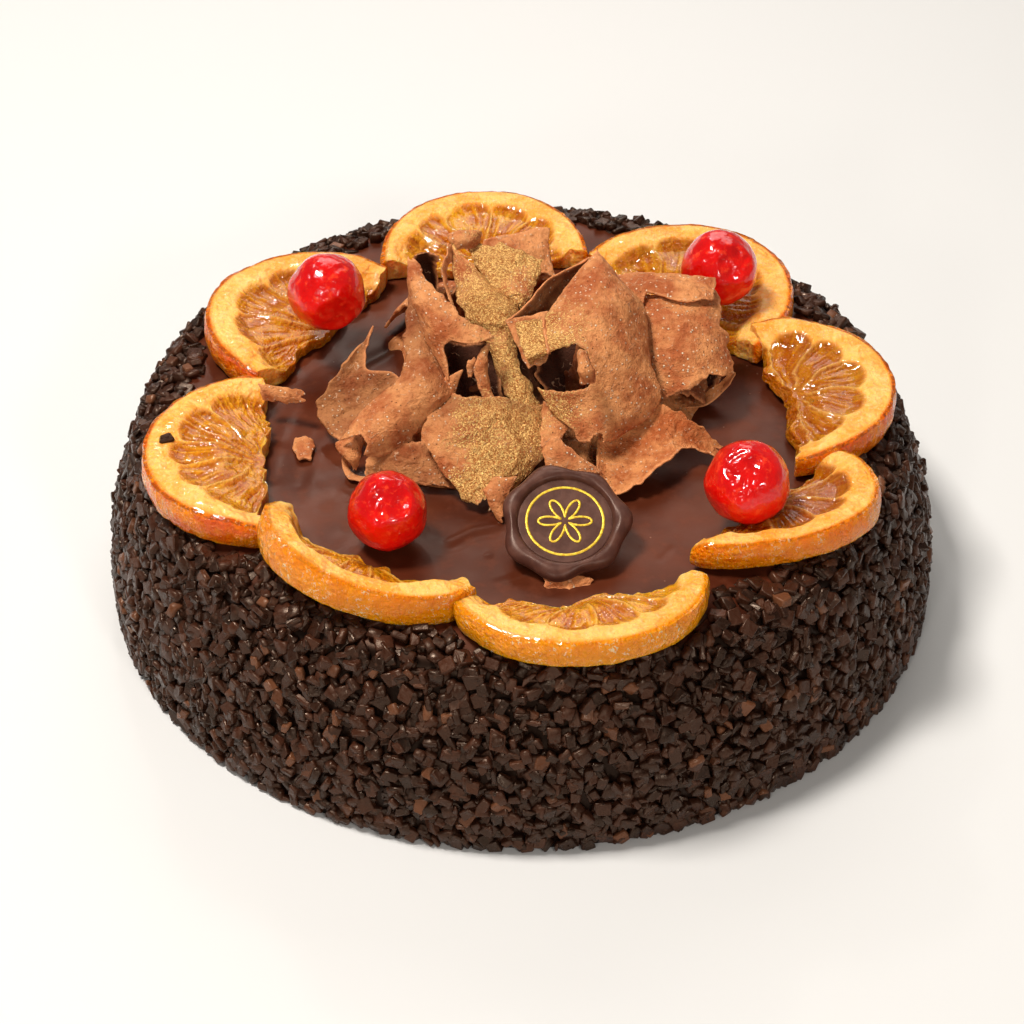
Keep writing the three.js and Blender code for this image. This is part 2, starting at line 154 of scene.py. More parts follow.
def build(name, points, faces, caps=(), smooth=True, **marks):
    """Makes a closed mesh from points in millimetres, four-cornered faces and any further outlines in caps, turned
    so that the space inside is positive. Marks are numbers kept at the points for the finish."""
    first, second, third, fourth = (points[faces[:, k]] for k in range(4))
    halves = np.cross(second - first, third - first) + np.cross(third - first, fourth - first)
    if (halves * first).sum() < 0:
        faces = faces[:, ::-1]
        caps = [cap[::-1] for cap in caps]
    mesh = bpy.data.meshes.new(name)
    mesh.vertices.add(len(points))
    mesh.vertices.foreach_set("co", (points * 0.001).astype(np.float32).ravel())
    corners = np.concatenate([faces.ravel(), *caps]).astype(np.int32)
    sizes = np.array([4] * len(faces) + [len(cap) for cap in caps])
    mesh.loops.add(len(corners))
    mesh.loops.foreach_set("vertex_index", corners)
    mesh.polygons.add(len(sizes))
    mesh.polygons.foreach_set("loop_start", (np.cumsum(sizes) - sizes).astype(np.int32))
    mesh.polygons.foreach_set("use_smooth", np.full(len(sizes), smooth))
    mesh.update(calc_edges=True)
    for mark, values in marks.items():
        mesh.attributes.new(mark, "FLOAT", "POINT").data.foreach_set("value", values.astype(np.float32).ravel())
    return show(name, mesh)


def build_rings(name, grid, **marks):
    """Makes a closed mesh from rings of points, one row of the grid each, with a cap on the first and the last."""
    rows, around = grid.shape[:2]
    caps = [np.arange(around)[::-1], np.arange((rows - 1) * around, rows * around)]
    return build(name, grid.reshape(-1, 3), grid_faces(rows, around, wrap=True), caps, **marks)


def maths(operation, swapped=False):
    """An operator that adds one Math node; swapped turns its two sides round, for the reflected form."""
    def apply(self, other=0.0):
        sides = (other, self) if swapped else (self, other)
        return self.finish.node("ShaderNodeMath", {"operation": operation}, dict(enumerate(sides)))

    return apply


class Value:
    """One output of a finish's nodes. Arithmetic with values or plain numbers adds Math nodes."""

    __add__ = __radd__ = maths("ADD")
    __sub__, __rsub__ = maths("SUBTRACT"), maths("SUBTRACT", swapped=True)
    __mul__ = __rmul__ = maths("MULTIPLY")
    __pow__, __gt__, __abs__ = maths("POWER"), maths("GREATER_THAN"), maths("ABSOLUTE")

    def __init__(self, finish, socket):
        self.finish = finish
        self.socket = socket

    def rise(self, low, high):
        """0 below low, 1 above high, and a smooth step between."""
        settings = {"interpolation_type": "SMOOTHSTEP"}
        return self.finish.node("ShaderNodeMapRange", settings, {0: self, 1: low, 2: high})


class Finish:
    """A material: a Principled shader whose plain numbers are set once, and the nodes that feed the rest."""

    def __init__(self, name, **plain):
        self.material = bpy.data.materials.new(name)
        self.material.use_nodes = True
        self.tree = self.material.node_tree
        self.shader = self.tree.nodes["Principled BSDF"]
        for socket, value in plain.items():
            self.shader.inputs[socket.replace("_", " ")].default_value = value
        self.place = self.node("ShaderNodeTexCoord", {}, {}, "Object")

    def node(self, kind, settings, sockets, output=0):
        """Adds a node of this kind, with its settings, then its values or links by socket, and gives one output."""
        node = self.tree.nodes.new(kind)
        for key, value in settings.items():
            setattr(node, key, value)
        for key, value in sockets.items():
            if isinstance(value, Value):
                self.tree.links.new(value.socket, node.inputs[key])
            else:
                node.inputs[key].default_value = value
        return Value(self, node.outputs[output])

    def blots(self, size, detail=2, rough=0.5):
        """Cloudy noise, about 0.3 to 0.7, in blots of this size in millimetres."""
        sockets = {"Vector": self.place, "Scale": 1000 / size, "Detail": detail, "Roughness": rough}
        return self.node("ShaderNodeTexNoise", {}, sockets)

    def cells(self, size, output=0):
        """Random cells of this size in millimetres: 0 gives the distance from each middle, 1 each cell's colour."""
        return self.node("ShaderNodeTexVoronoi", {}, {"Vector": self.place, "Scale": 1000 / size}, output)

    def draw(self, size):
        """Each cell's own random number, 0 to 1: the first channel of its colour."""
        return self.node("ShaderNodeSeparateColor", {}, {0: self.cells(size, 1)})

    def specks(self, size, inner, outer, least):
        """Dots that fade out from inner to outer, in the cells whose random number is over least."""
        return (1 - self.cells(size).rise(inner, outer)) * (self.draw(size) > least)

    def mark(self, name):
        """The number kept at the mesh's points under this name."""
        return self.node("ShaderNodeAttribute", {"attribute_name": name}, {}, "Fac")

    def mix(self, share, first, second):
        """Colour between first and second, by share. A plain colour is given as a screen shows it, 0 to 255."""
        first, second = (tint(*colour) if isinstance(colour, tuple) else colour for colour in (first, second))
        return self.node("ShaderNodeMix", {"data_type": "RGBA"}, {0: share, 6: first, 7: second}, 2)

    def cover(self, colour, *layers):
        """Lays further colours over the first one in turn, each by its own share."""
        for share, layer in layers:
            colour = self.mix(share, colour, layer)
        return colour

    def relief(self, height):
        """A bump whose height is in millimetres."""
        return self.node("ShaderNodeBump", {}, {"Distance": 0.001, "Height": height})

    def paint(self, **links):
        """Feeds sockets of the shader that vary over the surface."""
        for socket, value in links.items():
            self.tree.links.new(value.socket, self.shader.inputs[socket.replace("_", " ")])
        return self.material


glaze_height = 51.0
shoulder = 43.5
rounding = 5.5
foot_rows, side_rows, rim_rows, top_rows = 3, 36, 12, 118
turns = 570


def side_radius(height):
    """Radius of the side: 107.7 at the foot, less 13 times the share of the height to the power 2.2."""
    return 107.7 - 13 * (height / glaze_height) ** 2.2


rim_middle = side_radius(shoulder) - rounding
arc = np.radians(np.linspace(6, 90, rim_rows))
side_height = np.linspace(0, shoulder, side_rows)
body_radius = np.concatenate([
    [0.4, 60, 104], side_radius(side_height), rim_middle + rounding * np.cos(arc), [90.5, 88],
    np.linspace(87, 0.4, top_rows),
])[:, None]
body_height = np.concatenate([
    [0] * foot_rows, side_height, shoulder + rounding * np.sin(arc), [50.4, 50.95], np.full(top_rows, glaze_height),
])[:, None]
body_points = round_points(body_radius, all_round(turns), body_height)


def stroke(points, path, width):
    """1 on the line through path, seen from above, falling off as exp(-(distance / width)^2), in millimetres."""
    nearest = np.full(points.shape[:-1], 1e9)
    for start, end in zip(path[:-1], path[1:]):
        along = np.array(end, float) - start
        away = points[..., :2] - start
        share = np.clip((away @ along) / (along @ along), 0, 1)
        nearest = np.minimum(nearest, np.linalg.norm(away - share[..., None] * along, axis=-1))
    return np.exp(-(nearest / width) ** 2)


on_top = ease(body_points[..., 2], 50.9, 50.99)
ripples = 0.16 * random_field(body_points * [1, 1.6, 1], 19, 3) + 0.06 * random_field(body_points * [1.5, 1, 1], 7, 4)
spatula_marks = [
    (-0.9, 2.2, [(-47, 12), (-40, 20), (-36, 24), (-32, 29)]),
    (0.5, 2.6, [(-49, 6), (-43, 15), (-38, 19), (-33, 24)]),
    (0.55, 3.2, [(-55, 3), (-58, -4), (-60, -15), (-61, -30)]),
    (-0.5, 3.0, [(-50, -2), (-54, -14), (-56, -32)]),
    (0.45, 1.5, [(-17, -55), (-12, -51), (-6.6, -49.5)]),
    (-0.2, 1.4, [(-17, -57.5), (-11.5, -53.5), (-6, -52)]),
    (-0.25, 0.8, [(-6, -69.8), (-2.5, -68.4), (0.5, -66.6)]),
    (0.35, 0.8, [(-8.4, -60.4), (-8.0, -60.2)]),
    (-0.25, 0.7, [(33, -62), (36, -57.5)]),
]
spatula = sum(height * stroke(body_points, path, width) for height, width, path in spatula_marks)
body_points[..., 2] += on_top * np.clip(ripples + spatula, -1.0, 0.6)
# The glaze below the top, between the grains, carries a mark for painted shade.
glazed_cake = build_rings("glazed_cake", body_points, hidden=1 - ease(body_points[..., 2], 47.5, 50.2))

glaze = Finish("poured_dark_chocolate", IOR=1.46, Specular_IOR_Level=0.2, Specular_Tint=(1, 0.64, 0.44, 1))
cloud = glaze.blots(26, 3, 0.55)
smear = glaze.blots(5, 4, 0.6)
speck = glaze.specks(2.6, 0.05, 0.11, 0.8)
glaze_colour = glaze.cover(
    glaze.mix(cloud.rise(0.35, 0.65), (68, 28, 14), (88, 40, 22)),
    (smear.rise(0.5, 0.75) * 0.35, (112, 57, 36)),
    # painted shade: near black on the side, in the gaps between the grains
    (glaze.mark("hidden"), (22, 11, 7)),
    (speck * 0.6, (150, 106, 84)),
)
glaze.paint(
    Base_Color=glaze_colour,
    Roughness=0.32 + 0.12 * smear.rise(0.35, 0.7),
    Normal=glaze.relief(0.05 * glaze.blots(2.2, 3, 0.6) + 0.12 * glaze.blots(9, 2) + 0.05 * speck),
)
glazed_cake.data.materials.append(glaze.material)
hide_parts("cake")
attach(glazed_cake, "root")


# The coat of grains: dark chocolate cut into small tablets, cubes and short rods, pressed by hand into the wet
# glaze of the side and over the rim. They lie jumbled, two deep, and mask the glaze but for small gaps.
coat_reach = 110.0
sides = np.array(list(np.ndindex(2, 2, 2))) * 2 - 1
corner_of = np.repeat(np.arange(8), 3)
pulled_in = 1 - np.tile(np.eye(3), (8, 1))


def outline_of(wanted):
    """The wanted ones of the grain's points, three at each corner, in order round their own middle."""
    chosen = np.flatnonzero(wanted)
    spots = sides[corner_of[chosen]] * (1 - 0.3 * pulled_in[chosen])
    middle = spots.mean(0)
    first = spots[0] - middle
    normal = middle if np.abs(middle).sum() > 1e-6 else np.cross(first, spots[1] - middle)
    second = np.cross(normal, first)
    rise = (spots - middle) @ second * np.linalg.norm(first)
    run = (spots - middle) @ first * np.linalg.norm(second)
    return chosen[np.argsort(np.arctan2(rise, run))]


grain_faces = []
face_axis = np.tile(np.arange(3), 8)
for axis in range(3):
    others = [k for k in range(3) if k != axis]
    for side in (-1, 1):
        grain_faces.append(outline_of((face_axis == axis) & (sides[corner_of, axis] == side)))
    for one, two in ((-1, -1), (-1, 1), (1, -1), (1, 1)):
        on_edge = (sides[corner_of, others[0]] == one) & (sides[corner_of, others[1]] == two)
        grain_faces.append(outline_of(on_edge & (face_axis != axis)))
grain_faces = np.array(grain_faces)
grain_ends = np.array([outline_of(corner_of == corner) for corner in range(8)])


def grain_points(middle, along, over, out, size, draws):
    """Blocks of size with cut edges: each corner is three points, one on each face, drawn back from the edges by the
    bevel; whole upright edges and single corners are moved at random, so every grain is broken in its own way."""
    bevel = draws.uniform(0.24, 0.46, (len(middle), 1, 1))
    local = 0.5 * size[:, None] * sides[corner_of] - bevel * sides[corner_of] * pulled_in
    upright = draws.normal(0, 0.085, (len(middle), 4, 2))
    single = draws.normal(0, 0.03, (len(middle), 8, 3))
    pair = (sides[:, 0] > 0) * 2 + (sides[:, 1] > 0)
    shift = single + np.concatenate([upright[:, pair], np.zeros((len(middle), 8, 1))], -1)
    local = local + shift[:, corner_of] * size[:, None]
    point = middle[:, None]
    for k, way in enumerate((along, over, out)):
        point = point + local[..., k, None] * way[:, None]
    return point


golden_share, golden_turn = 0.7548776662, 0.5698402910


def turned(first, second, angle):
    """Two lengths or directions at right angles, turned together: first * cos + second * sin for the one, and
    second * cos - first * sin for the other."""
    cosine, sine = np.cos(angle), np.sin(angle)
    return first * cosine + second * sine, second * cosine - first * sine


def unit(vectors):
    """Vectors brought to length 1."""
    return vectors / np.linalg.norm(vectors, axis=-1, keepdims=True)


def lay_grains(count, lift, seed):
    """Places for grains: an even spread of points over the coat, from a two-number golden sequence, each with a
    grain that lies on the surface, turned at random in it and then tipped; about one in six stands on edge."""
    draws = np.random.default_rng(seed)
    coated = slice(foot_rows, foot_rows + side_rows + rim_rows)
    profile_r = np.concatenate([body_radius[coated, 0], np.linspace(92.6, 87.0, 8)])
    profile_z = np.concatenate([body_height[coated, 0], np.linspace(49.3, 50.7, 8)])
    step_r, step_z = np.gradient(profile_r), np.gradient(profile_z)
    length = np.hypot(step_r, step_z)
    area = np.cumsum(length * profile_r)
    number = np.arange(count)
    share = (0.5 + number * golden_share + draws.normal(0, 0.016, count)) % 1
    turn = 2 * np.pi * ((0.5 + number * golden_turn) % 1) + draws.normal(0, 0.014, count)
    at = area[0] + share * (area[-1] - area[0])
    radius, height = np.interp(at, area, profile_r), np.interp(at, area, profile_z)
    out_r, out_z = np.interp(at, area, step_z / length), np.interp(at, area, -step_r / length)
    out = unit(round_points(out_r, turn, out_z))
    round_way = np.stack([-np.sin(turn), np.cos(turn), np.zeros(count)], -1)
    along = turned(round_way, np.cross(out, round_way), draws.uniform(0, 2 * np.pi, count)[:, None])[0]
    over = np.cross(out, along)
    tip = np.clip(draws.normal(0, 0.26, (count, 2)), -0.7, 0.7)
    tip[:, 0] += np.where(draws.random(count) < 0.17, draws.uniform(0.9, 1.5, count), 0)
    over, stood = turned(over, out, tip[:, :1])
    out_of, along = turned(stood, along, tip[:, 1:])
    middle = round_points(radius, turn, height) + out * (lift + draws.uniform(-0.25, 0.35, (count, 1)))
    length_of = draws.uniform(2.6, 4.2, count)
    width = length_of * draws.uniform(0.66, 1.0, count)
    rod = draws.random(count) < 0.16
    width[rod] = draws.uniform(1.1, 1.6, rod.sum())
    size = np.stack([length_of, width, draws.uniform(1.4, 2.3, count)], -1)
    return middle, along, over, out_of, size, draws


def clear_of_slices(points, cuts):
    """Whether each grain has all its points outside the half discs of the slices, seen from above, or lies below."""
    free = np.ones(len(points), bool)
    for cut in cuts:
        way = math.radians(cut["head"])
        seen = points[..., :2] - np.array(cut["at"][:2])
        out = seen @ np.array([math.cos(way), math.sin(way)])
        across = seen @ np.array([math.sin(way), -math.cos(way)])
        within = (np.hypot(across / (cut["half"] + 0.3), out / (cut["depth"] + 0.3)) < 1) & (out > -0.3)
        floor_of = cut["at"][2] - np.sin(np.radians(cut["tilt"])) * out
        free &= ~(within & (points[..., 2] > floor_of - 0.3)).any(axis=1)
    return free


# glow, given to the front slices, is painted light on their peel.
slice_cuts = [
    dict(at=(-10, 60, 51.5), head=96, deep=0.12, half=28.5, depth=31.5, thick=8, tilt=0),
    dict(at=(40, 39, 51.5), head=43, deep=0.35, half=31.5, depth=35.3, thick=8, tilt=-2),
    dict(at=(65, -3.5, 53), head=8, deep=0.7, half=28, depth=30.6, thick=8, tilt=-1, roll=3, bay=(0.1, 0.55, 4.5)),
    dict(at=(59, -45.5, 51.8), head=314, deep=1.0, glow=0.5, half=27, depth=23, thick=7.6, tilt=-5, skew=-0.35),
    dict(at=(13.5, -78, 51.5), head=277, deep=0.05, glow=1, half=30, depth=23, thick=7.6, tilt=-2, bay=(0.2, 0.3, 3)),
    dict(
        at=(-36, -66.3, 52.3), head=243, deep=0.2, glow=0.75, half=28, depth=20.5, thick=9, tilt=-10, roll=-3,
        twist=-12, skew=0.2, sink=4,
    ),
    dict(at=(-64, -28, 51.5), head=184, deep=0.15, half=30.5, depth=30, thick=8.6, tilt=0),
    dict(at=(-52, 28.5, 51.5), head=149, deep=0.4, half=30, depth=33, thick=8, tilt=-1),
]

grain_look = Finish("cut_dark_chocolate", IOR=1.46, Specular_IOR_Level=0.44, Specular_Tint=(1, 0.74, 0.55, 1))
tone = grain_look.mark("tone")
bloom = grain_look.blots(1.4, 3, 0.6)
grain_colour = grain_look.cover(
    # Each grain's brown differs at random, and the grains of the under layer are darker: painted shade.
    grain_look.mix(tone, (30, 14, 7), (64, 33, 20)),
    (tone.rise(0.93, 1.0) * 0.7, (116, 70, 44)),
    (bloom.rise(0.55, 0.72) * 0.45, (84, 50, 34)),
)
grain_look.paint(
    Base_Color=grain_colour,
    Roughness=0.24 + 0.24 * bloom.rise(0.35, 0.65),
    Normal=grain_look.relief(0.12 * bloom + 0.04 * grain_look.blots(0.4, 2)),
)

# The last number caps each layer's tone: 0.4 on the under layer is painted shade beneath the top grains.
layers = (("grains_under", 4400, 0.1, 11, 0.4), ("grains_over", 4500, 1.2, 12, 1))
points_each, faces_each = len(corner_of), len(grain_faces)
for coat_name, coat_count, coat_lift, coat_seed, palest in layers:
    middle, *ways, size, draws = lay_grains(coat_count, coat_lift, coat_seed)
    points = grain_points(middle, *ways, size, draws)
    beyond = np.maximum(np.hypot(points[..., 0], points[..., 1]).max(axis=1) - coat_reach, 0)
    points -= (unit(middle * [1, 1, 0]) * beyond[:, None])[:, None]
    points[..., 2] += np.maximum(0.02 - points[..., 2].min(axis=1), 0)[:, None]
    kept = clear_of_slices(points, slice_cuts)
    points = points[kept]
    first = points_each * np.arange(len(points))[:, None, None]
    coat = build(
        coat_name, points.reshape(-1, 3), (first + grain_faces).reshape(-1, 4),
        caps=list((first + grain_ends).reshape(-1, 3)),
        tone=np.repeat(draws.random(len(points)) * palest, points_each),
    )
    rounded = np.ones(len(coat.data.polygons), bool)
    pebbles = np.repeat(draws.random(len(points)) < 0.4, faces_each)
    bevels = np.tile(np.arange(faces_each) % 6 > 1, len(points))
    rounded[:len(bevels)] = bevels | pebbles
    coat.data.polygons.foreach_set("use_smooth", rounded)
    coat.data.materials.append(grain_look.material)
    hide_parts("cake")
    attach(coat, "root")


# Candied orange: eight half slices, simmered in syrup until flesh and pith turn translucent, laid round the top
# with their peel outwards. The flesh has sunk between its membranes, and the cut side is torn.
slice_across, slice_outward = np.meshgrid(np.linspace(-1, 1, 150), np.linspace(0, 1, 84) ** 1.15)
slice_number = np.arange(slice_across.size).reshape(slice_across.shape)
slice_border = np.concatenate([
    slice_number[0, :-1], slice_number[:-1, -1], slice_number[-1, :0:-1], slice_number[:0:-1, 0],
])
slice_levels = (0.97, 0.92, 0.86, 0.79, 0.72, 0.65, 0.58, 0.51, 0.44, 0.37, 0.3, 0.22, 0.14, 0.05)


def slice_faces():
    """The faces of a top grid and a bottom grid, and strips round the border through a ring at each level."""
    count, length = slice_across.size, len(slice_border)
    rings = [2 * count + k * length + np.arange(length) for k in range(len(slice_levels))]
    loops = [slice_border, *rings, slice_border + count]
    level_faces = grid_faces(*slice_across.shape)
    faces = [level_faces[:, ::-1], level_faces + count]
    for upper, lower in zip(loops[:-1], loops[1:]):
        faces.append(np.stack([upper, np.roll(upper, -1), np.roll(lower, -1), lower], -1))
    return np.concatenate(faces)


def candied_slice(cut, across, outward, level, seed):
    """A square grid drawn on a half disc. across runs from -1 to 1 along the cut side, outward from 0 there to 1 at
    the peel, level from 0 underneath to 1 on top. Segments meet at the middle of the cut side; the flesh sinks in
    each, membranes stand up between them, and the peel bulges. Gives the points and the marks for the finish."""
    x = across * np.sqrt(1 - outward ** 2 / 2)
    uneven = 1 + cut.get("skew", 0) * x
    y = outward * np.sqrt(1 - across ** 2 / 2) * uneven
    even = y / uneven
    radius = np.hypot(x, even)
    turn = np.degrees(np.arctan2(even, x))
    draws = np.random.default_rng(seed)
    bounds = np.cumsum(draws.uniform(27, 41, 7)) - draws.uniform(15, 40)
    bounds = np.concatenate([[bounds[0] - 36], bounds])
    wavy = turn + 4 * random_field(np.stack([x * 4, y * 4, 0 * x + seed], -1), 1, seed)
    which = np.clip(np.searchsorted(bounds, wavy.ravel()).reshape(wavy.shape), 1, len(bounds) - 1)
    width = bounds[which] - bounds[which - 1]
    share = (wavy - bounds[which - 1]) / width
    to_wall = np.minimum(share, 1 - share) * np.radians(width) * radius * cut["half"]
    round_end = 0.79 - 0.1 * np.abs(2 * share - 1) ** 3
    flesh = 1 - ease(radius, round_end - 0.05, round_end + 0.02)
    wall = np.exp(-(to_wall / 0.45) ** 2) * ease(radius, 0.05, 0.2) * flesh
    flat = np.stack([x * cut["half"], y * cut["depth"], 0 * x + 9 * seed], -1)
    polar = np.stack([radius * cut["half"] / 7.5, turn * 0.25, 0 * x + seed], -1)
    pulp = 0.75 - 1.5 * np.abs(random_field(polar, 1, seed + 40))
    pulp = pulp - 1.1 * np.abs(random_field(polar * [1.4, 2.3, 1], 1, seed + 41))
    near_cut = (1 - outward) ** 3
    torn = 1.3 * random_field(flat, 4.1, seed + 50) + 0.7 * random_field(flat, 1.5, seed + 51)
    bay_at, bay_width, bay_depth = cut.get("bay", (0, 1, 0))
    torn = torn + bay_depth * np.exp(-((x - bay_at) / bay_width) ** 2)
    edge = ease(radius, 0.94, 1)
    sink = cut.get("sink", 1.3)
    slump = 3.4 * (1 - ease(outward, 0, 0.42)) * (1 - 0.55 * ease(radius, 0.74, 0.9))
    fall = sink * (1 - ease(radius, 0.64, 0.78)) + 0.5 * flesh - 0.6 * wall + slump
    fine = 0.3 * pulp * flesh * ease(to_wall, 0.1, 1.2)
    fine = fine + 0.16 * random_field(flat, 1.7, seed + 60) * ease(radius, 0.7, 0.85)
    swell = 0.15 * np.exp(-((radius - 0.88) / 0.06) ** 2)
    top = cut["thick"] - fall - 0.5 * edge + fine + swell + 0.35 * random_field(flat, 9, seed + 61)
    z = level * top + (1 - level) * 0.5 * edge
    upward = np.array([0, 0, level])
    pores = random_field(flat + 3 * upward, 1.9, seed + 70) + random_field(flat + 6 * upward, 5, seed + 71)
    bulge = (0.55 * 4 * level * (1 - level) + 0.25 * pores) * ease(radius, 0.97, 1)
    tilt = np.radians(cut["tilt"] + cut.get("twist", 0) * x)
    roll = math.radians(cut.get("roll", 0))
    ragged = 0.03 * np.sin(9 * across + cut["head"]) * (1 - outward) * cut["depth"]
    out = y * cut["depth"] + ragged + torn * near_cut * (0.5 + 0.5 * level) + bulge * y
    wide = x * cut["half"] + bulge * x
    forward, height = turned(out, z, tilt)
    wide, height = turned(wide, height, roll)
    way = math.radians(cut["head"] - 90)
    east, north = math.cos(way), math.sin(way)
    points = np.stack([wide * east - forward * north, wide * north + forward * east, height], -1)
    marks = dict(
        radius=radius, flesh=flesh, wall=wall, pulp=pulp, level=level + 0 * x, deep=cut["deep"] + 0 * x,
        glow=cut.get("glow", 0) + 0 * x,
    )
    return points + np.array(cut["at"]), marks


orange = Finish(
    "candied_orange", IOR=1.4, Specular_IOR_Level=0.16, Subsurface_Weight=0.5, Subsurface_Radius=(1.0, 0.5, 0.12),
    Subsurface_Scale=0.004, Coat_Roughness=0.05, Coat_IOR=1.42,
)
radius, flesh, wall, pulp = (orange.mark(mark) for mark in ("radius", "flesh", "wall", "pulp"))
level, deep, glow = (orange.mark(mark) for mark in ("level", "deep", "glow"))
ripe = orange.blots(8, 3, 0.6)
grain = orange.blots(1.1, 3, 0.6)
# Small pale dots over pith, flesh and peel: painted glints.
sugar = orange.specks(0.9, 0.08, 0.2, 0.72)
on_peel = radius.rise(0.94, 0.98)
pith_colour = orange.mix(ripe.rise(0.35, 0.65), (238, 154, 52), (248, 184, 96))
# Pale granules in the pith: its grain, partly painted sparkle highlight.
pith_colour = orange.mix(grain.rise(0.5, 0.75) * 0.5, pith_colour, (252, 210, 144))
pulp_colour = orange.cover(
    orange.mix((pulp * 0.5 + 0.5).rise(0.25, 0.95), (190, 98, 0), (236, 158, 14)),
    (ripe.rise(0.45, 0.7) * 0.5, (244, 176, 34)),
    (deep * 0.7, (142, 58, 0)),
)
peel_colour = orange.mix(orange.blots(5, 4, 0.65).rise(0.35, 0.65), (240, 100, 0), (255, 142, 2))
# Painted light: the peel of the front slices brighter and more golden, for light thrown up on it from below; the
# burnt line fades there too.
peel_colour = orange.mix(glow * 0.85, peel_colour, (255, 156, 6))
burnt = (1 - 0.8 * glow) * radius.rise(0.962, 0.985) * level.rise(0.93, 0.99)
burnt = burnt * orange.blots(1.6, 3, 0.7).rise(0.34, 0.56)
# Thin pale lines over the peel, stronger on the front slices: painted glints of a wet surface.
wet = 1 - abs(orange.blots(1.7, 2, 0.5) - 0.5).rise(0.008, 0.035)
wet = wet * orange.blots(5, 2).rise(0.46, 0.56) * grain.rise(0.46, 0.56)
colour = orange.cover(
    orange.mix(flesh, pith_colour, pulp_colour),
    (wall * 0.4, (244, 190, 100)),
    ((radius + 0.012 * grain).rise(0.955, 0.985), peel_colour),
    (burnt * 0.85, (160, 70, 6)),
    # painted glints: small pale dots
    (sugar * 0.5, (255, 240, 205)),
    # painted glints on the peel
    (wet * on_peel * (0.25 + 0.5 * glow), (255, 240, 200)),
)
pores = (0.6 + 2.2 * on_peel + 1.4 * flesh) * orange.blots(1.1, 3, 0.55)
orange.paint(
    Base_Color=colour,
    Roughness=0.27 - 0.13 * flesh - 0.13 * on_peel + 0.06 * grain,
    Coat_Weight=0.1 + 0.2 * orange.blots(3, 3).rise(0.45, 0.6) + 0.6 * flesh + 0.4 * on_peel,
    Normal=orange.relief(pores + 1.7 * orange.blots(2.4, 2) + 0.12 * sugar),
)

ring = slice_across.ravel()[slice_border], slice_outward.ravel()[slice_border]
for number, cut in enumerate(slice_cuts, 1):
    skins = [candied_slice(cut, slice_across, slice_outward, face, number) for face in (1, 0)]
    skins += [candied_slice(cut, *ring, height, number) for height in slice_levels]
    points = np.concatenate([skin.reshape(-1, 3) for skin, _ in skins])
    marks = {mark: np.concatenate([kept[mark].ravel() for _, kept in skins]) for mark in skins[0][1]}
    slice_piece = build(f"candied_slice_{number}", points, slice_faces(), **marks)
    slice_piece.data.materials.append(orange.material)
    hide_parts(f"orange_slice_{number}")
    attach(slice_piece, "root")


# Candied cherries: four whole red cherries, glassy with syrup, each with a dimple and folds where the stone
# came out.
def cherry_surface(cherry, seed):
    """A ball on a grid of heights and turns: the radius varies in soft lumps, sinks in the dimple, and creases fan
    out of the dimple. Gives the points, and a mark that rises towards the lower side, where light gathers."""
    height = np.radians(np.linspace(1, 179, 110))[:, None]
    way = round_points(np.sin(height), all_round(180), np.cos(height))
    dimple = unit(np.array(cherry["dimple"]))
    facing = way @ dimple
    side = unit(np.cross(dimple, [0.2, 0.1, 1.0]))
    fan = np.arctan2(way @ np.cross(dimple, side), way @ side)
    uneven = 0.35 * np.sin(4 * way[..., 0] + 3 * way[..., 2]) * np.cos(3 * way[..., 1])
    creases = np.exp(-((facing - 0.93) / 0.05) ** 2) * np.sin(3 * fan + 5 * random_field(way * 2.6, 1, seed))
    reach = cherry["radius"] - 0.05 + uneven - 1.2 * ease(facing, 0.84, 1) + 0.22 * creases
    reach += 0.22 * random_field(way * 3.1, 1, seed + 1) + 0.06 * random_field(way * 9, 1, seed + 2)
    upper = way @ np.array([-0.3, 0.35, 0.89])
    points = way * np.minimum(reach, cherry["radius"] + 0.4)[..., None] + np.array(cherry["at"])
    return points, ease(upper, 0.9, -0.7)


cherry_look = Finish(
    "candied_cherry", IOR=1.45, Specular_IOR_Level=0.25, Subsurface_Weight=0.5, Subsurface_Radius=(1.0, 0.06, 0.03),
    Subsurface_Scale=0.005, Coat_Weight=0.8, Coat_Roughness=0.02, Coat_IOR=1.45,
)
depth = cherry_look.blots(6, 2)
vein = cherry_look.blots(2.2, 4, 0.6)
# Painted light: the red darkens towards the top and brightens towards the lower side, where light gathers inside the
# cherry; depth adds a random part.
clear = cherry_look.mark("glass") * 0.75 + 0.25 * depth.rise(0.35, 0.65)
red = cherry_look.mix(clear, (186, 2, 5), (250, 22, 8))
red = cherry_look.mix(vein.rise(0.52, 0.72) * 0.6, red, (255, 78, 38))
cherry_look.paint(
    Base_Color=red,
    Roughness=0.12 + 0.12 * vein,
    Normal=cherry_look.relief(
        0.5 * cherry_look.blots(3.4, 2, 0.4) + 0.25 * cherry_look.blots(1.6, 2) + 0.08 * vein
    ),
)

cherries = [
    dict(at=(-51, 24.2, 69.8), radius=10.2, dimple=(0.25, -0.75, -0.1)),
    dict(at=(-32.1, -55.5, 61.1), radius=9.6, dimple=(0.1, -0.5, 0.7)),
    dict(at=(54.2, -49.2, 64.8), radius=10.3, dimple=(-0.2, -0.5, 0.8)),
    dict(at=(52.9, 35.6, 69.8), radius=10.1, dimple=(0.3, -0.6, 0.5)),
]
for number, cherry in enumerate(cherries, 1):
    ball, glass = cherry_surface(cherry, 70 + number)
    cherry_piece = build_rings(f"candied_cherry_{number}", ball, glass=glass)
    cherry_piece.data.materials.append(cherry_look.material)
    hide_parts(f"cherry_{number}")
    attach(cherry_piece, "root")


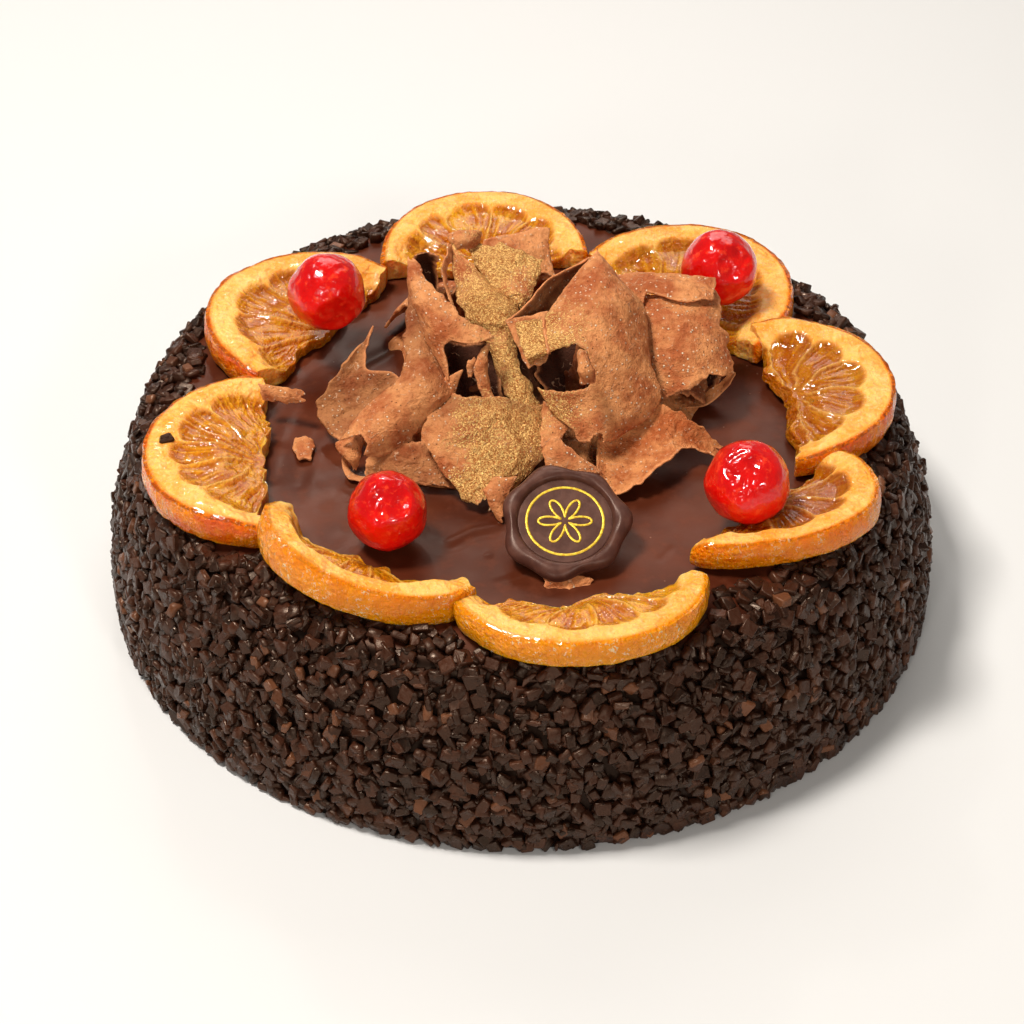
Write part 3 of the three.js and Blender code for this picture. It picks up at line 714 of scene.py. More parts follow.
# The pile of shavings: thin sheets of milk chocolate scraped from a slab, rolled, folded and torn, and stood
# up in the middle of the cake. The middle of the pile is dusted with edible gold powder.
def steady(values, share):
    """Reads evenly spaced values at share 0 to 1, in straight lines between them."""
    values = np.atleast_1d(np.array(values, float))
    return np.interp(np.clip(share, 0, 1), np.linspace(0, 1, len(values)), values)


def path_point(path, share):
    """A smooth curve through the path's points, by cubic pieces whose slope at each point is half the step between
    its neighbours."""
    path = np.array(path, float)
    last = len(path) - 1
    whole = np.concatenate([[2 * path[0] - path[1]], path, [2 * path[-1] - path[-2]]])
    place = np.clip(share, 0, 1) * last
    first = np.minimum(place.astype(int), last - 1)
    part = (place - first)[..., None]
    before, start, end, after = (whole[first + k] for k in range(4))
    leave, arrive = (end - before) / 2, (after - start) / 2
    return (
        start + leave * part + (3 * (end - start) - 2 * leave - arrive) * part ** 2
        + (2 * (start - end) + leave + arrive) * part ** 3
    )


def both_edges(sheet, down):
    """Points on the left and the right edge of a sheet, each a smooth curve, at this share of the way down."""
    edges = path_point(sheet["edges"], down)
    return edges[..., :3], edges[..., 3:]


def carried_on(curve, down):
    """A curve's point and slope at down. Past its ends, at 0 and 1, the curve goes straight on."""
    inside = np.clip(down, 0, 1)
    upper, lower = np.minimum(inside + 0.005, 1), np.maximum(inside - 0.005, 0)
    slope = (curve(upper) - curve(lower)) / (upper - lower)[..., None]
    return curve(inside) + slope * (down - inside)[..., None], slope


def drawn_surface(sheet, side, down):
    """A sheet between two edges. side runs from -1 on the left edge to 1 on the right, down from 0 to 1 along both;
    the sheet bows out from the straight line between them by bow times 1 - side^2."""
    share = ((side + 1) / 2)[..., None]

    def between(place):
        left, right = both_edges(sheet, place)
        return left * (1 - share) + right * share

    point, slope = carried_on(between, down)
    left, right = both_edges(sheet, down)
    bow = (steady(sheet["bow"], down) * (1 - side ** 2))[..., None]
    return point + unit(np.cross(slope, right - left)) * bow


def half_widths(sheet, down):
    """How far a sheet reaches to the left and to the right of its middle."""
    if "edges" in sheet:
        left, right = both_edges(sheet, down)
        half = 0.5 * np.linalg.norm(right - left, axis=-1)
        return half, half
    return steady(sheet["left"], down), steady(sheet["right"], down)


def sheet_surface(sheet, side, down):
    """A sheet over a path, its ridge. side runs from -1 at the left edge to 1 at the right, down from 0 at the top
    to 1 at the low end. Each half of the section leaves the ridge level and turns by bend times its share."""
    if "edges" in sheet:
        return drawn_surface(sheet, side, down)
    point, slope = carried_on(lambda place: path_point(sheet["path"], place), down)
    tangent = unit(slope)
    outside = np.array(sheet.get("outside", (0, -0.6, 0.8)))
    normal = unit(outside - (tangent @ outside)[..., None] * tangent)
    face = np.radians(steady(sheet.get("face", 0), down))[..., None]
    normal, across = turned(normal, np.cross(normal, tangent), face)
    wave = 1 + 0.06 * np.sin(9 * down + sheet["path"][0][1])
    width = np.where(side < 0, *half_widths(sheet, down)) * wave
    bend = [steady(sheet.get(half, 20), down) for half in ("bend_left", "bend_right")]
    bend = np.radians(np.where(side < 0, *bend))
    steps = 24
    for step in range(steps):
        turn = (bend * ((step + 0.5) / steps * np.abs(side)))[..., None]
        part = (width * np.abs(side) / steps)[..., None]
        point = point + part * (np.sign(side)[..., None] * np.cos(turn) * across - np.sin(turn) * normal)
    return point


def torn_skin(middle, normal, half, kept, smoothing=1):
    """Two faces of a thin sheet, closed by a strip along every border of the kept cells of its grid. The border is
    first smoothed: each of its points moves halfway to the mean of its neighbours. Gives points, faces, which grid
    point each point comes from, and the border's grid points."""
    rows, columns = middle.shape[:2]
    count = rows * columns
    faces = grid_faces(rows, columns)[kept.ravel()]
    starts, ends = faces.ravel(), np.roll(faces, -1, axis=1).ravel()
    lone = ~np.isin(starts * count + ends, ends * count + starts)
    starts, ends = starts[lone], ends[lone]
    line = middle.reshape(-1, 3).copy()
    for _ in range(smoothing):
        total, share = np.zeros((count, 3)), np.zeros(count)
        for one, other in ((starts, ends), (ends, starts)):
            np.add.at(total, one, line[other])
            np.add.at(share, one, 1)
        border = share > 0
        line[border] = 0.5 * line[border] + 0.5 * total[border] / share[border, None]
    lift = normal.reshape(-1, 3) * half.reshape(-1, 1)
    both = np.concatenate([faces[:, ::-1], faces + count, np.stack([starts, ends, ends + count, starts + count], -1)])
    used, renumbered = np.unique(both, return_inverse=True)
    points = np.concatenate([line + lift, line - lift])[used]
    return points, renumbered.reshape(-1, 4), used, np.unique(starts)


cell_size = 0.42


def shaving(sheet, seed, thickness=0.7, ragged=1.0):
    """Lays a fine grid over the sheet, tears its border by noise in several sizes and opens its mouth, if it has
    one, wrinkles it, and gives it two faces that close in at the border. Gives points, faces and marks."""
    marks_down = np.linspace(0, 1, 9)
    line = sheet["path"] if "path" in sheet else np.add(*both_edges(sheet, marks_down)) / 2
    length = max(np.linalg.norm(np.diff(np.array(line, float), axis=0), axis=1).sum(), 2)
    widest = max(np.max(np.add(*half_widths(sheet, marks_down))), 2)
    ragged = ragged * sheet.get("fit", 1)
    rows, columns = int(np.clip(length / cell_size, 16, 150)), int(np.clip(widest / cell_size, 14, 150))
    across, along = np.meshgrid(np.linspace(-1, 1, columns), np.linspace(0, 1, rows))

    def torn(place, key):
        spot = np.stack([place, 0 * place + 3.7 * seed, 0 * place + key], -1)
        rough = 0.8 * random_field(spot, 3.1, seed) + 0.5 * random_field(spot, 1.3, seed + 1)
        rough = rough + 0.4 * random_field(spot, 0.7, seed + 2)
        return ragged * (rough + 1.8 * np.minimum(random_field(spot, 5.3, seed + 3) + 0.2, 0))

    start = steady(sheet.get("top", 0), (across + 1) / 2) - torn(across * widest / 2, 11) / length
    end = 1 - steady(sheet.get("bottom", 0), (across + 1) / 2) + torn(across * widest / 2, 23) / length
    tear = 0.03 * np.sin(5 * across + seed) * ragged
    down = start + tear + (end - start) * along
    reach = np.where(across < 0, *half_widths(sheet, down))
    side_tear = np.where(across < 0, torn(down * length, 31), torn(down * length, 47))
    side = across * np.maximum(1 + side_tear / np.maximum(reach, 1), 0.15)

    middle = sheet_surface(sheet, side, down)
    small = 0.01
    over = sheet_surface(sheet, side + small, down) - sheet_surface(sheet, side - small, down)
    along_step = sheet_surface(sheet, side, down + small) - sheet_surface(sheet, side, down - small)
    normal = unit(np.cross(over, along_step))
    flat = np.stack([side * reach, down * length, 0 * side + 7.3 * seed], -1)
    fold = 1 - np.abs(random_field(flat, 10, seed + 4))
    wrinkle = 0.4 * random_field(flat, 8.5, seed + 5) + 0.18 * random_field(flat * [1, 0.6, 1], 3.2, seed + 6)
    wrinkle = wrinkle - 0.7 * fold ** 8
    wrinkle = ragged * wrinkle + 0.12 * random_field(flat, 1.3, seed + 7)
    middle = middle + normal * wrinkle[..., None]

    kept = np.ones((rows - 1, columns - 1), bool)
    if "mouth" in sheet:
        mouth_side, mouth_down, half_side, half_down = sheet["mouth"]
        place = (np.abs((side - mouth_side) / half_side) ** 4 + np.abs((down - mouth_down) / half_down) ** 4) ** 0.25
        open_here = place + 0.22 * random_field(flat, 3, seed + 9) + 0.12 * random_field(flat, 1.1, seed + 10) < 1
        kept = ~(open_here[:-1, :-1] | open_here[1:, 1:])
    border = torn_skin(middle, normal, 0 * side, kept, 0)[3]
    gaps = flat.reshape(-1, 1, 3) - flat.reshape(-1, 3)[border[::2]]
    from_edge = np.sqrt((gaps ** 2).sum(-1).min(axis=1)).reshape(side.shape)
    half = 0.5 * thickness * (1 + 0.25 * random_field(flat, 2.3, seed + 8)) * (0.5 + 0.5 * ease(from_edge, 0, 1.0))
    points, faces, used, border = torn_skin(middle, normal, half, kept)
    gold = sheet.get("gold", 0) * stroke(middle, gold_path, 14.5) * (0.75 + 0.5 * random_field(middle, 5, 90))
    # Marks for the finish: a painted highlight along the torn edge, the gold dust, and the sheet's painted shade.
    marks = {"rim": np.exp(-(from_edge / 0.5) ** 2), "gold": gold, "dark": steady(sheet.get("dark", 0), down)}
    grid_of = used % side.size
    marks = {mark: values.ravel()[grid_of] for mark, values in marks.items()}
    # The lower face of each sheet is marked for painted shade.
    marks["under"] = (used >= side.size).astype(float)
    return points, faces, marks


gold_path = [(-4, 26), (-6, 10), (-2, -8), (3, -14), (-6, -38)]
# dark is painted shade along each sheet: the inner, back and under sheets are dark all over, standing in for the
# shade inside the pile, and other sheets darken where their neighbours shade them.
shavings = dict(
    cone_left=dict(
        edges=[(-28, 11.4, 88.5, -27.2, 10.2, 89), (-28.7, 5.8, 85, -22.7, 2.1, 87.5),
        (-26.3, -0.5, 80.5, -17.9, -3.8, 85.5), (-23.5, -8, 76, -12.6, -8.4, 83),
        (-18.6, -18.1, 71, -5.9, -11.5, 80)],
        bow=[1, 3, 4.5, 4.5, 3.5], bottom=[0, 0.15, 0.14, 0.07, 0], gold=0.4, fit=0.55,
    ),
    cone_left_inner=dict(
        edges=[(-21.9, 3, 70, -5.5, 0, 70), (-20.8, -3.9, 65, -5.5, -4.8, 65), (-19.1, -13.7, 59, -4.7, -13.5, 59.5)],
        bow=[-2], dark=1, part_of="cone_left",
    ),
    cone_left_back=dict(
        edges=[(-27.5, 11.5, 88.8, -21, 12.7, 88), (-27, 13.9, 82, -20.9, 13.1, 81),
        (-25.5, 9.8, 74, -19.3, 7.6, 74)],
        bow=[-2, -3, -3], top=[0, -0.12, 0], dark=1, part_of="cone_left",
    ),
    band=dict(
        edges=[(-28.9, 10.7, 82, -24.8, 4, 78), (-29.6, -3.4, 77, -20.9, -11.5, 73),
        (-30.1, -15.2, 72, -18.1, -19.5, 69), (-37.8, -20.3, 66.5, -23.8, -25, 63.5),
        (-46.4, -27.8, 60, -33.7, -30.5, 58)],
        bow=[1, 2, 4, 5, 5], bottom=[0, 0.08, 0.02, -0.04, 0.02], dark=[0.5, 0.42, 0.15, 0, 0], fit=0.7,
    ),
    band_curl=dict(
        edges=[(-46.6, -25.9, 58.5, -38.9, -22.9, 60), (-44.4, -29.2, 57, -39.3, -26.8, 58),
        (-42.3, -30.6, 54, -41.3, -30.6, 54)],
        bow=[1, 1.5, 0.5], fit=0.5, part_of="band",
    ),
    band_lip=dict(
        edges=[(-45.2, -25.1, 57, -43.9, -25.5, 56), (-44.9, -28.8, 53.5, -43.7, -28.1, 53),
        (-42.7, -32.5, 52.3, -41.9, -30.5, 52), (-39.2, -33.7, 52, -38.8, -31.4, 51.8)],
        bow=[0.3], fit=0.4, part_of="band",
    ),
    left_leaf=dict(
        edges=[(-38.5, 5.2, 71, -38, 3.8, 71), (-44.8, -1.4, 66, -39.7, -1.5, 64.5),
        (-50.8, -7.4, 60, -30.9, -6.1, 65), (-52, -12.3, 57, -34.9, -10.5, 61),
        (-46.2, -21.2, 55.5, -43.1, -21.9, 57)],
        bow=[0, -1, -2.5, -2.5, -1], dark=[0.2, 0.35, 0.45, 0.4, 0.35], fit=0.75,
    ),
    centre=dict(
        edges=[(-18.4, 24.2, 86.5, -14.2, 16.5, 85.5), (-16.5, 10.8, 81, -8.3, 11.3, 81),
        (-14.6, 2.7, 78, -1.2, 4.3, 77.5), (-8.8, -2.8, 72, -1.9, -4.2, 73), (-4.2, -13.8, 66, 2.1, -12.2, 67),
        (-2.4, -19, 63, 4.6, -18.2, 63)],
        bow=[1.5, 2.5, 3, 2, 1.5, 1], gold=1,
    ),
    gold_leaf=dict(
        edges=[(-15.1, 25.8, 85.5, 5, 20.7, 83), (-10.7, 17.1, 82, 4.5, 15.2, 80.5), (-5.5, 10.2, 79, 2.7, 10, 78.5),
        (-1.2, 6.5, 77.5, -0.2, 5.9, 77.3)],
        bow=[0.5, 1.5, 1.5, 0.5], gold=0.9,
    ),
    back_top=dict(
        edges=[(-10.3, 28.2, 83, 7.7, 33.4, 84), (-9.7, 24.2, 81, 7.2, 26.2, 80), (-9.2, 18.2, 76, 9.2, 19.6, 76)],
        bow=[0.5, 1.5, 1], gold=0.1, fit=0.6,
    ),
    top_roll=dict(
        edges=[(-18.7, 24.4, 87, -10.5, 26, 87.5), (-18.4, 22.4, 86.5, -11.2, 24.1, 86),
        (-17.9, 20.9, 85, -12.3, 23.1, 84.5)],
        bow=[1, 2, 1], gold=0.4, fit=0.8, part_of="back_top",
    ),
    flap=dict(
        edges=[(15.8, 12.3, 87.3, 18, 15.7, 86), (6.7, 7.9, 84.5, 12.9, 10.6, 79), (0.6, -0.5, 82, 8.8, 4.8, 75),
        (-4.2, -4.9, 80.5, 4.1, -4.2, 73)],
        bow=[-0.5, -1.5, -2, -1.5], dark=0.55, fit=0.5,
    ),
    flap_front=dict(
        edges=[(-4.2, -4, 80.5, 6.6, 0.2, 80), (-2.9, -7.9, 79.3, 7.1, -5.5, 78.5), (-0.7, -12.4, 77, 7, -10.4, 76.5),
        (1.3, -17.2, 75, 5.7, -15.1, 75)],
        bow=[0.5], gold=0.2, fit=0.4, part_of="flap",
    ),
    gold_square=dict(
        edges=[(-1.7, -6, 81, 5.3, -5, 81.5), (-0.7, -11.2, 79.5, 6.2, -10.6, 80), (1, -18.4, 78, 6.9, -15.8, 78.5)],
        bow=[0.6], gold=1, fit=0.35,
    ),
    square_edge=dict(
        edges=[(5, -5.7, 82.3, 5.8, -4.3, 81), (5.7, -11.3, 80.8, 6.5, -9.5, 79.5), (6.4, -16.7, 79.2, 7, -15.1, 78)],
        bow=[0.2], gold=0.2, fit=0.2, part_of="gold_square",
    ),
    cone_right=dict(
        edges=[(18.7, 15, 88, 19.7, 15, 88), (12.4, 5.4, 85, 25.5, 9.1, 82.5), (5.8, -4.7, 81, 31.1, 4.7, 77.5),
        (1.8, -16.3, 75.5, 32.3, -7.8, 70), (6.2, -21.8, 67, 34.7, -16.3, 63.5), (14.6, -28.7, 61, 22.1, -27, 60)],
        bow=[1, 5, 8, 8, 5, 3], mouth=(-0.6, 0.645, 0.37, 0.08), gold=0.8, fit=0.6,
    ),
    cone_right_inner=dict(
        edges=[(4.2, 3.7, 72, 20, 3.7, 72), (3.1, -3.2, 66, 21, -3.2, 66), (5.9, -11.3, 61, 19.8, -11.3, 61)],
        bow=[-3], dark=1, part_of="cone_right",
    ),
    mouth_curl=dict(
        edges=[(13.4, -21.2, 83, 15.6, -21.1, 83.5), (13.6, -25.1, 81, 16.5, -25.8, 81.5),
        (14.6, -26.9, 77.5, 17.8, -25.2, 77.5)],
        bow=[1.4], gold=0.6, fit=0.5, part_of="cone_right",
    ),
    pillow=dict(
        edges=[(30.5, 13.8, 75, 50, 20.4, 75.5), (31.2, 3.7, 72, 51.6, 9.8, 71.5), (32.1, -3.8, 66.5, 52.8, 2, 67),
        (35.1, -10.4, 59, 54.6, -1.8, 62.5)],
        bow=[1, 3, 5, 5], bottom=[0, 0.03, 0.06, 0.03, 0],
    ),
    pillow_fold=dict(
        edges=[(24.6, 22.1, 76.5, 50.3, 19.2, 77.2), (25.2, 15.9, 76, 49.5, 13.9, 76.8),
        (31.6, 8.2, 74.5, 48.5, 9.6, 76.3)],
        bow=[1, 2, 1.5], bottom=[0.1, 0.3, 0.1, 0, 0.1], fit=0.6,
    ),
    pillow_lip=dict(
        edges=[(54.7, -1.1, 62, 53.6, 0.2, 61), (52.4, -1, 56.5, 50.9, 2.5, 55.5), (46.8, -3.2, 53, 46.1, 1.8, 52.5),
        (39.8, -3.6, 53, 41.1, 0.5, 52.5)],
        bow=[0.4], fit=0.5, part_of="pillow",
    ),
    pillow_inner=dict(
        edges=[(35.1, 14.6, 58, 49.7, 11.8, 60), (37.5, 6.7, 54, 51.8, 7.5, 56), (39.1, 1.3, 52.2, 50.7, 4.6, 53)],
        bow=[-1.5], dark=1, part_of="pillow",
    ),
    torn_strip=dict(
        edges=[(-10.6, -12.9, 78, -7.9, -11.1, 78.5), (-11.4, -16.1, 74.5, -8.9, -15.1, 75),
        (-9.7, -19.1, 69, -8.2, -17.1, 70), (-8.2, -21.2, 66.5, -5.7, -21.7, 66)],
        bow=[1], gold=0.4, fit=0.5,
    ),
    apron=dict(
        edges=[(-18.9, -19, 68, 4.6, -17.7, 64.5), (-25.1, -29.3, 64, 10.1, -17.4, 60.5),
        (-20.2, -35.7, 59, 7, -27.6, 57), (-12.7, -43.4, 53.5, -6.9, -43.5, 53)],
        bow=[3, 4.5, 3.5, 1.5], gold=0.95, dark=[0.5, 0.08, 0, 0], fit=0.7,
    ),
    seal_leaf=dict(
        edges=[(-9.3, -38.7, 57, -0.5, -37.9, 57), (-8.8, -44, 55, -3.4, -42.5, 55),
        (-5.1, -48.4, 52, -4.4, -47.5, 52.5)],
        bow=[1], gold=0.2, fit=0.6, part_of="apron",
    ),
    left_low=dict(
        edges=[(-37.2, -28.9, 58, -22.8, -26.6, 60), (-38.7, -31.5, 55, -18.5, -32.6, 56.5),
        (-39.2, -34.4, 52.3, -14.8, -36.5, 53)],
        bow=[1.5], dark=0.3, fit=0.7,
    ),
    under_front=dict(
        edges=[(8.6, -16.4, 58.5, 32.4, -15, 59), (10.1, -24.2, 55, 29.6, -24.2, 55),
        (13.2, -33.6, 52.3, 26.3, -34.4, 52.3)],
        bow=[-1], dark=0.9, part_of="front_low",
    ),
    front_low=dict(
        edges=[(5, -28.4, 59.5, 10, -26.1, 61.5), (5.2, -31.4, 57.5, 11.2, -29, 60),
        (6.2, -35.4, 55, 20.3, -34.3, 56)],
        bow=[0.8], gold=0.25, fit=0.6,
    ),
    lip_fold=dict(
        edges=[(6, -18.8, 66, 11, -22.8, 64), (4.8, -21.5, 63, 11, -25.9, 62), (4.7, -28.4, 59.5, 9.7, -27.2, 60.5)],
        bow=[0.8], gold=0.4, fit=0.7, part_of="lower_lip",
    ),
    right_sheet=dict(
        edges=[(50.5, -25.3, 53, 49.9, -21.1, 54.5), (42, -25.5, 57, 42.2, -19, 60.5),
        (35.1, -33.3, 58, 35, -15.7, 63), (29.2, -39, 56, 21.1, -18, 61), (22.6, -40.4, 53, 18.8, -34.8, 57)],
        bow=[0.5, 2, 3, 3, 1.5], dark=0.18, fit=0.7,
    ),
    sliver=dict(
        path=[(-18.5, 20, 87), (-20, 12, 83.5), (-18, 6, 78)], left=[1, 1.5, 1], right=[1, 1, 1], bend_left=0,
        bend_right=0, face=[60, 60],
    ),
    under_middle=dict(
        path=[(-1, 14, 63), (-1, -2, 59), (0, -13, 54.5)], left=[10, 13, 12], right=[9, 11, 11], bend_left=[40, 50],
        bend_right=[40, 40], gold=0.4, dark=0.85,
    ),
    under_left=dict(
        path=[(-21, 12, 68), (-23, 2, 63), (-26, -12, 57)], left=[4, 6, 6], right=[10, 13, 12], bend_left=[40, 60],
        bend_right=[30, 40], dark=0.85,
    ),
    under_right=dict(
        path=[(36, 15, 67), (36, 4, 64), (37, -7, 59)], left=[13, 14, 13], right=[10, 14, 13], bend_left=[50, 60],
        bend_right=[50, 60], dark=0.6,
    ),
    rear_left=dict(
        path=[(-13, 15, 78.5), (-20, 26, 71), (-28, 40, 53.5)], left=[5, 12, 14], right=[6, 13, 13],
        bend_left=[50, 60], bend_right=[50, 60], outside=(0, 0.6, 0.8),
    ),
    rear_right=dict(
        path=[(17, 14, 77), (22, 27, 68), (27, 40, 53.5)], left=[6, 12, 13], right=[6, 13, 12], bend_left=[50, 60],
        bend_right=[40, 70], outside=(0, 0.6, 0.8),
    ),
    rear_middle=dict(
        path=[(3, 20, 79), (2, 32, 68.5), (-3, 45, 54)], left=[8, 10, 8], right=[9, 11, 7], bend_left=[30, 40],
        bend_right=[30, 40], outside=(0, 0.6, 0.8),
    ),
    cone_left_tear=dict(
        edges=[(-19.8, -16.8, 72.3, -15.2, -16.2, 73.6), (-19, -18.2, 69.5, -16.2, -17.6, 70.4),
        (-18.2, -19, 66.6, -17.2, -18.6, 67)],
        bow=[0.5, 0.8, 0.3], fit=0.8, part_of="cone_left",
    ),
    cone_left_tag=dict(
        edges=[(-13.6, -14.4, 76.2, -10.8, -13.4, 77.2), (-13.5, -15.6, 73.5, -11.6, -14.6, 74.3),
        (-13, -16.2, 71.2, -12.3, -15.6, 71.8)],
        bow=[0.4], fit=0.7, part_of="cone_left",
    ),
)

milk = Finish("scraped_milk_chocolate", IOR=1.45, Specular_IOR_Level=0.2, Specular_Tint=(1, 0.78, 0.58, 1))
rim, gold_dust, under, shade = milk.mark("rim"), milk.mark("gold"), milk.mark("under"), milk.mark("dark")
patch = milk.blots(9, 3, 0.55)
crumb = milk.blots(1.5, 4, 0.65)
fine = milk.blots(0.5, 3, 0.6)
dot = milk.specks(1.25, 0.12, 0.26, 0.45) * (0.4 + 0.6 * milk.blots(7, 2).rise(0.42, 0.58))
# Small pits, sunk by the bump and darkened with painted shade.
pits = milk.specks(1.1, 0.1, 0.2, 0.8)
line = milk.blots(2.8, 1.5, 0.5)
fibre = (1 - abs(line - 0.5).rise(0.004, 0.02)) * milk.blots(3.3, 1).rise(0.56, 0.64)
leaf = milk.draw(0.27)
powder = gold_dust * 1.25 + (milk.blots(4, 3, 0.6) - 0.5) * 0.5 + (leaf - 0.5) * 0.4
powder = powder.rise(0.32, 0.7) * (gold_dust > 0.04) * (1 - shade)
brown = milk.cover(
    milk.mix(patch.rise(0.35, 0.65), (186, 94, 46), (244, 162, 98)),
    # Lighter where the bumps rise and darker where they sink: painted light and shade that follow the relief.
    (crumb.rise(0.48, 0.7) * 0.35, (244, 172, 118)),
    ((1 - crumb.rise(0.34, 0.5)) * 0.4, (142, 68, 32)),
    # painted shade on the lower faces of the sheets
    (under * 0.3, (120, 72, 50)),
    # painted shade where the sheet is marked dark, less of it on the edges
    (shade * (1 - rim * 0.8), (66, 34, 22)),
    # painted highlight along the torn edges
    (rim * 0.6, (240, 160, 104)),
    # painted shade in the small pits
    (pits * 0.6, (90, 50, 34)),
    (fibre * 0.55, (226, 178, 140)),
    (dot * (1 - shade), (252, 226, 192)),
    # Gold powder: each flake a random step between dark and bright gold, partly painted sparkle highlight.
    (powder * 0.9, milk.mix(leaf ** 1.5, (172, 100, 46), (255, 212, 130))),
)
milk.paint(
    Base_Color=brown,
    Metallic=powder * 0.5,
    Roughness=0.56 - 0.2 * powder + 0.12 * crumb,
    Normal=milk.relief(
        0.9 * crumb + 0.4 * fine + 0.3 * dot - 0.35 * pits + 0.15 * fibre + 0.9 * milk.blots(4.2, 2)
        + 0.2 * leaf * powder
    ),
)

pile_low, pile_high = 51.05, 89.3
for number, (name, sheet) in enumerate(shavings.items()):
    points, faces, marks = shaving(sheet, 100 + 10 * number)
    points[:, 2] = np.clip(points[:, 2], pile_low, pile_high)
    curl = build(f"curl_{name}", points, faces, **marks)
    curl.data.materials.append(milk.material)
    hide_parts(f"shaving_{sheet.get('part_of', name)}")
    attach(curl, "root")


# Inside the heap: broken scraps of the same milk chocolate, pressed together, that the shavings lie on. They show
# only through gaps, from the sides and from behind.
scrap_heights = np.pad([
    [0, 0, 0, 0, 1, 3, 1, 0, 0, 0, 0, 0, 0],
    [0, 0, 3, 6, 9, 11, 9, 6, 5, 3, 1, 0, 0],
    [0, 1, 6, 12, 12, 12, 10, 8, 10, 9, 4, 0, 0],
    [0, 3, 5, 16, 12, 10, 13, 9, 16, 21, 12, 2, 0],
    [0, 3, 4, 20, 13, 13, 19, 9, 19, 27, 17, 4, 0],
    [0, 0, 2, 16, 17, 20, 20, 12, 22, 27, 21, 8, 2],
    [0, 0, 0, 13, 20, 24, 23, 18, 20, 22, 21, 15, 5],
    [0, 0, 1, 10, 20, 26, 25, 20, 18, 20, 17, 10, 3],
    [0, 0, 3, 11, 15, 19, 21, 16, 14, 14, 8, 2, 0],
    [0, 0, 1, 5, 7, 8, 10, 8, 6, 6, 3, 0, 0],
    [0, 0, 0, 0, 1, 2, 3, 2, 1, 0, 0, 0, 0],
], 1)
scrap_step = 8


def scrap_surface(turn, reach):
    """An oval mound on rings about its middle: reach is 0 there and 1 at the foot. The height is read between the
    points of a table, and crumpled by folds of noise. Gives the points and the shade inside the heap."""
    x, y = 58 * reach * np.cos(turn), 4 + 48 * reach * np.sin(turn)
    column = np.clip((x + 56) / scrap_step, 0, 13.99)
    row = np.clip((y + 44) / scrap_step, 0, 11.99)
    left, low = column.astype(int), row.astype(int)
    column, row = column - left, row - low
    lower = scrap_heights[low, left] * (1 - column) + scrap_heights[low, left + 1] * column
    upper = scrap_heights[low + 1, left] * (1 - column) + scrap_heights[low + 1, left + 1] * column
    height = lower * (1 - row) + upper * row
    spot = np.stack([x, y, 1.4 * height], -1)
    folds = 2.9 * np.abs(random_field(spot, 8, 301)) + 1.8 * np.abs(random_field(spot, 4.3, 304))
    crumple = 0.7 - folds + 0.6 * random_field(spot, 2.1, 302) + 0.3 * random_field(spot, 1.0, 303)
    z = 49.6 + height * ease(height, 0.2, 2.5) + ease(height, 0.5, 6) * crumple
    shade = 0.25 + 0.75 * np.exp(-((x + 2) / 17) ** 2) * (1 - ease(y, 6, 18))
    return np.stack([x, y, z], -1), shade


scrap_turn, scrap_reach = np.meshgrid(all_round(240), np.linspace(0.004, 1, 120))
scraps, scrap_shade = scrap_surface(scrap_turn, scrap_reach)
blank = 0 * scrap_shade
heap = build_rings("scraps_inside", scraps, rim=blank, gold=blank, under=blank, dark=scrap_shade)
heap.data.materials.append(milk.material)
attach(heap, "root")


# Loose bits: two small flakes of milk chocolate on the glaze, one at the cut side of a slice, and one stray
# grain on the same slice.
flakes = dict(
    flake_left=(dict(path=[(-55, -15, 51.7), (-55, -24, 51.7)], left=[2.5, 3, 1.5], right=[1.5, 2, 2]), "cake"),
    flake_front=(dict(path=[(5, -71, 51.7), (16, -70, 51.7)], left=[1, 2.5, 1.5], right=[1.5, 2, 1]), "cake"),
    flake_on_slice=(
        dict(path=[(-67, -7, 60.2), (-55, -9, 60.3)], left=[2, 3, 1.5], right=[2.5, 3, 1.5], face=-25),
        "orange_slice_7",
    ),
)
for number, (name, (sheet, carrier)) in enumerate(flakes.items()):
    points, faces, marks = shaving(sheet, 400 + 10 * number, thickness=1.1, ragged=0.8)
    points[:, 2] = np.maximum(points[:, 2], glaze_height)
    bit = build(name, points, faces, **marks)
    bit.data.materials.append(milk.material)
    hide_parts(carrier)
    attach(bit, "root")

stray = grain_points(
    np.array([[-88.2, -26.4, 60.3]]), np.array([[0.9, 0.3, 0.2]]), np.array([[-0.3, 0.95, 0.0]]),
    np.array([[-0.2, 0.0, 0.97]]), np.array([[3.4, 2.6, 1.6]]), np.random.default_rng(5),
)
stray_grain = build(
    "stray_grain", stray.reshape(-1, 3), grain_faces, caps=list(grain_ends), smooth=False,
    tone=np.full(points_each, 0.3),
)
stray_grain.data.materials.append(grain_look.material)
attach(stray_grain, "root")


# The seal: melted dark chocolate pressed with a round die, so that its rim swells out in uneven lobes. It leans
# against the pile; its round face carries a thin gold ring and a six-petalled rosette.
seal_middle = np.array([10.2, -56.4, 57.2])
seal_tilt = math.radians(21)


def seat(points):
    """Leans points drawn flat round the origin against the pile, where the seal is."""
    z, y = turned(points[..., 2], points[..., 1], seal_tilt)
    return np.stack([points[..., 0], y, z], -1) + seal_middle


